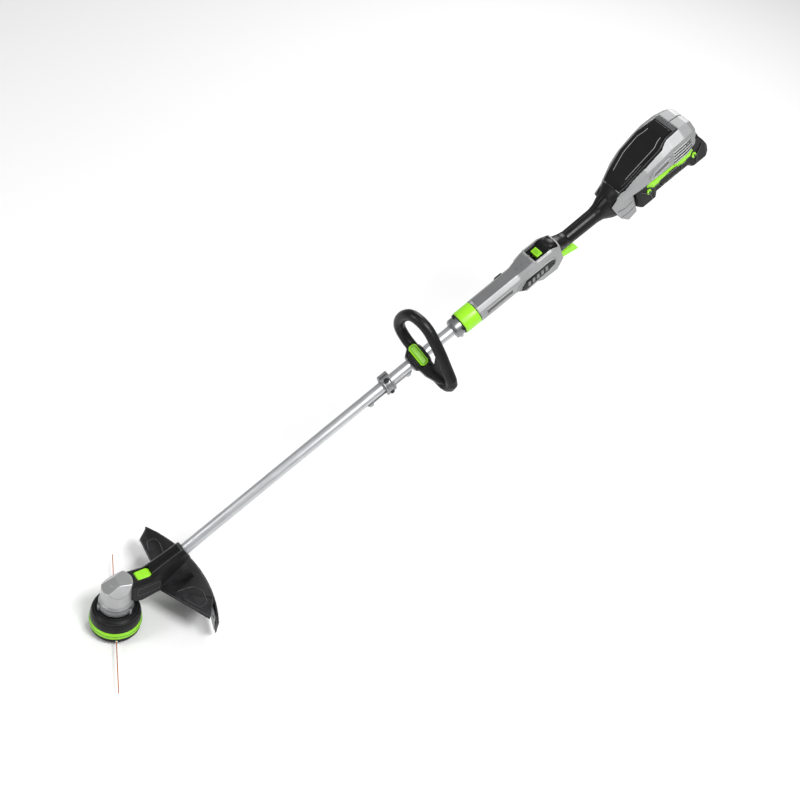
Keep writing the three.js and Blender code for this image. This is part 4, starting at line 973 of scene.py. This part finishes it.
inlay(
    "lid_rear_bar", seen_from_above(rear_bar, 0.12), lid_skin, down,
    0.0009, 0.0016, "frame", grey_trim_and_painted_shade, 0.0004, 3,
)
hood_skin = skin_of("battery_housing_left", "battery_housing_right")
ribs(
    "hood_front_lip",
    [[along_tube(1.4305, y, 0.12) for y in (-0.029, -0.015, 0, 0.015, 0.029)]],
    hood_skin, down, 0.0022, 0.0008, "frame", silver,
)
ribs(
    "lid_front_line",
    [[along_tube(1.4325, y, 0.12) for y in (-0.027, -0.015, 0, 0.015, 0.027)]],
    lid_skin, down, 0.0016, 0.0022, "frame", silver,
)
oval_sleeve("grip_flare", [
    (1.3900, 0.0185, -0.0245, 0.0165), (1.4000, 0.0215, -0.0260, 0.0215),
    (1.4120, 0.0262, -0.0200, 0.0310), (1.4220, 0.0295, -0.0100, 0.0385),
    (1.4290, 0.0312, -0.0020, 0.0425), (1.4325, 0.0316, 0.0020, 0.0430),
    (1.4340, 0.0290, 0.0100, 0.0400),
], power=0.75)
side_plate = [
    (1.5020, 0.0375), (1.5140, 0.0530), (1.5600, 0.0640), (1.5700, 0.0560), (1.5640, 0.0450),
    (1.5180, 0.0335),
]
side_label = [(1.5150, 0.0400), (1.5200, 0.0470), (1.5540, 0.0560), (1.5590, 0.0500)]
vent_well = [(1.5740, 0.0300), (1.5770, 0.0660), (1.6300, 0.0660), (1.6300, 0.0300)]
vent_fins = [[(1.572, w), (1.631, w)] for w in (0.0300, 0.0390, 0.0480, 0.0570, 0.0660)]
foot_grooves = [
    [(1.414, -0.010), (1.437, -0.017), (1.461, -0.012)],
    [(1.421, -0.036), (1.440, -0.040), (1.463, -0.035)],
]
for side, seen, sign in both_sides:
    y = 0.09 * sign
    inlay(
        f"hood_side_plate_{side}", seen_from_side(side_plate, y), hood_skin, seen,
        0.0012, 0.0018, "frame", silver, 0.0006, 3,
    )
    ribs(
        f"hood_plate_rim_{side}", [seen_from_side(side_plate + side_plate[:1], y)], hood_skin, seen,
        0.0030, 0.0024, "frame", silver, passes=1,
    )
    # A near-black sheet in each vent well: painted shade behind the fins.
    inlay(
        f"hood_vent_well_{side}", seen_from_side(vent_well, y), hood_skin, seen,
        0.0004, 0.0008, "frame", shadow_black, 0.0001, 4,
    )
    inlay(
        f"hood_side_label_{side}", seen_from_side(side_label, y), hood_skin, seen,
        0.0016, 0.0008, "frame", grey_trim_and_painted_shade, 0.0002, 3,
    )
    ribs(
        f"hood_vent_fins_{side}", [seen_from_side(fin, y) for fin in vent_fins], hood_skin, seen,
        0.0046, 0.0022, "frame", silver, passes=0,
    )
    # The foot grooves are dark grey ribs: painted shade in the grooves.
    ribs(
        f"foot_grooves_{side}", [seen_from_side(groove, y) for groove in foot_grooves], hood_skin, seen,
        0.0016, 0.0008, "frame", grey_trim_and_painted_shade,
    )
shaped("controller_module", cast_alloy, bevel=0.001, angle=28)
shaped("terminal_block", copper, bevel=0.0004, angle=28)

# ---------------------------------------------------------------------------
# Battery. Black moulded case in two deep blocks with a lime core plate, held
# by a sprung release button in the rear wall of the housing.
# ---------------------------------------------------------------------------
shaped("battery_case", nylon, voxel=0.0014, passes=8)
shaped("battery_trim", lime, bevel=0.001, angle=28)
battery_skin = skin_of("battery_trim", "battery_case")
battery_middle = 1.565
lime_plate = [
    (-0.0700, 0.0120), (-0.0640, 0.0242), (-0.0100, 0.0242), (-0.0100, 0.0140), (-0.0185, 0.0140),
    (-0.0310, -0.0080), (-0.0480, -0.0080),
]
bridge = [
    (1.5340, -0.0080), (1.5470, 0.0125), (1.5830, 0.0125), (1.5960, -0.0080), (1.5920, -0.0220),
    (1.5380, -0.0220),
]
case_lines = [
    [(1.494, 0.0125), (1.516, -0.0090), (1.533, -0.0090), (1.546, 0.0132), (1.584, 0.0132),
     (1.597, -0.0090), (1.614, -0.0090), (1.636, 0.0125)],
    [(1.528, -0.0100), (1.536, -0.0240), (1.594, -0.0240), (1.602, -0.0100)],
    [(1.478, 0.010), (1.500, -0.014), (1.504, -0.040)],
    [(1.640, -0.040), (1.644, -0.010), (1.664, 0.012)],
]
latch_turns = [2 * math.pi * k / 16 for k in range(16)]
for side, seen, sign in both_sides:
    y = 0.09 * sign
    for end, turned in (("front", 1), ("rear", -1)):
        plate = [(battery_middle + turned * dt, w) for dt, w in lime_plate]
        inlay(
            f"battery_lime_{end}_{side}", seen_from_side(plate, y), battery_skin, seen,
            0.0010, 0.0022, "battery", lime, 0.0005, 3,
        )
    inlay(
        f"battery_bridge_{side}", seen_from_side(bridge, y), battery_skin, seen,
        0.0022, 0.0036, "battery", nylon, 0.0010, 3,
    )
    ribs(
        f"battery_case_lines_{side}", [seen_from_side(line, y) for line in case_lines], battery_skin, seen,
        0.0026, 0.0028, "battery", painted_highlight_nylon, passes=1,
    )
    for spot, t in (("front", 1.4985), ("rear", 1.6355)):
        latch = [(t + 0.0062 * math.cos(a), -0.006 + 0.0082 * math.sin(a)) for a in latch_turns]
        inlay(
            f"battery_latch_{spot}_{side}", seen_from_side(latch, y), battery_skin, seen,
            0.0022, 0.0034, "battery", lime, 0.0008, 2,
        )
        notch = [
            (t + 0.0016 + 0.0024 * math.cos(a), -0.0085 + 0.0050 * math.sin(a)) for a in latch_turns
        ]
        inlay(
            f"battery_latch_slot_{spot}_{side}", seen_from_side(notch, y), battery_skin, seen,
            0.0027, 0.0020, "battery", gloss_black, 0.0004, 1,
        )
shaped("battery_release_button", lime, voxel=0.0006, passes=6)
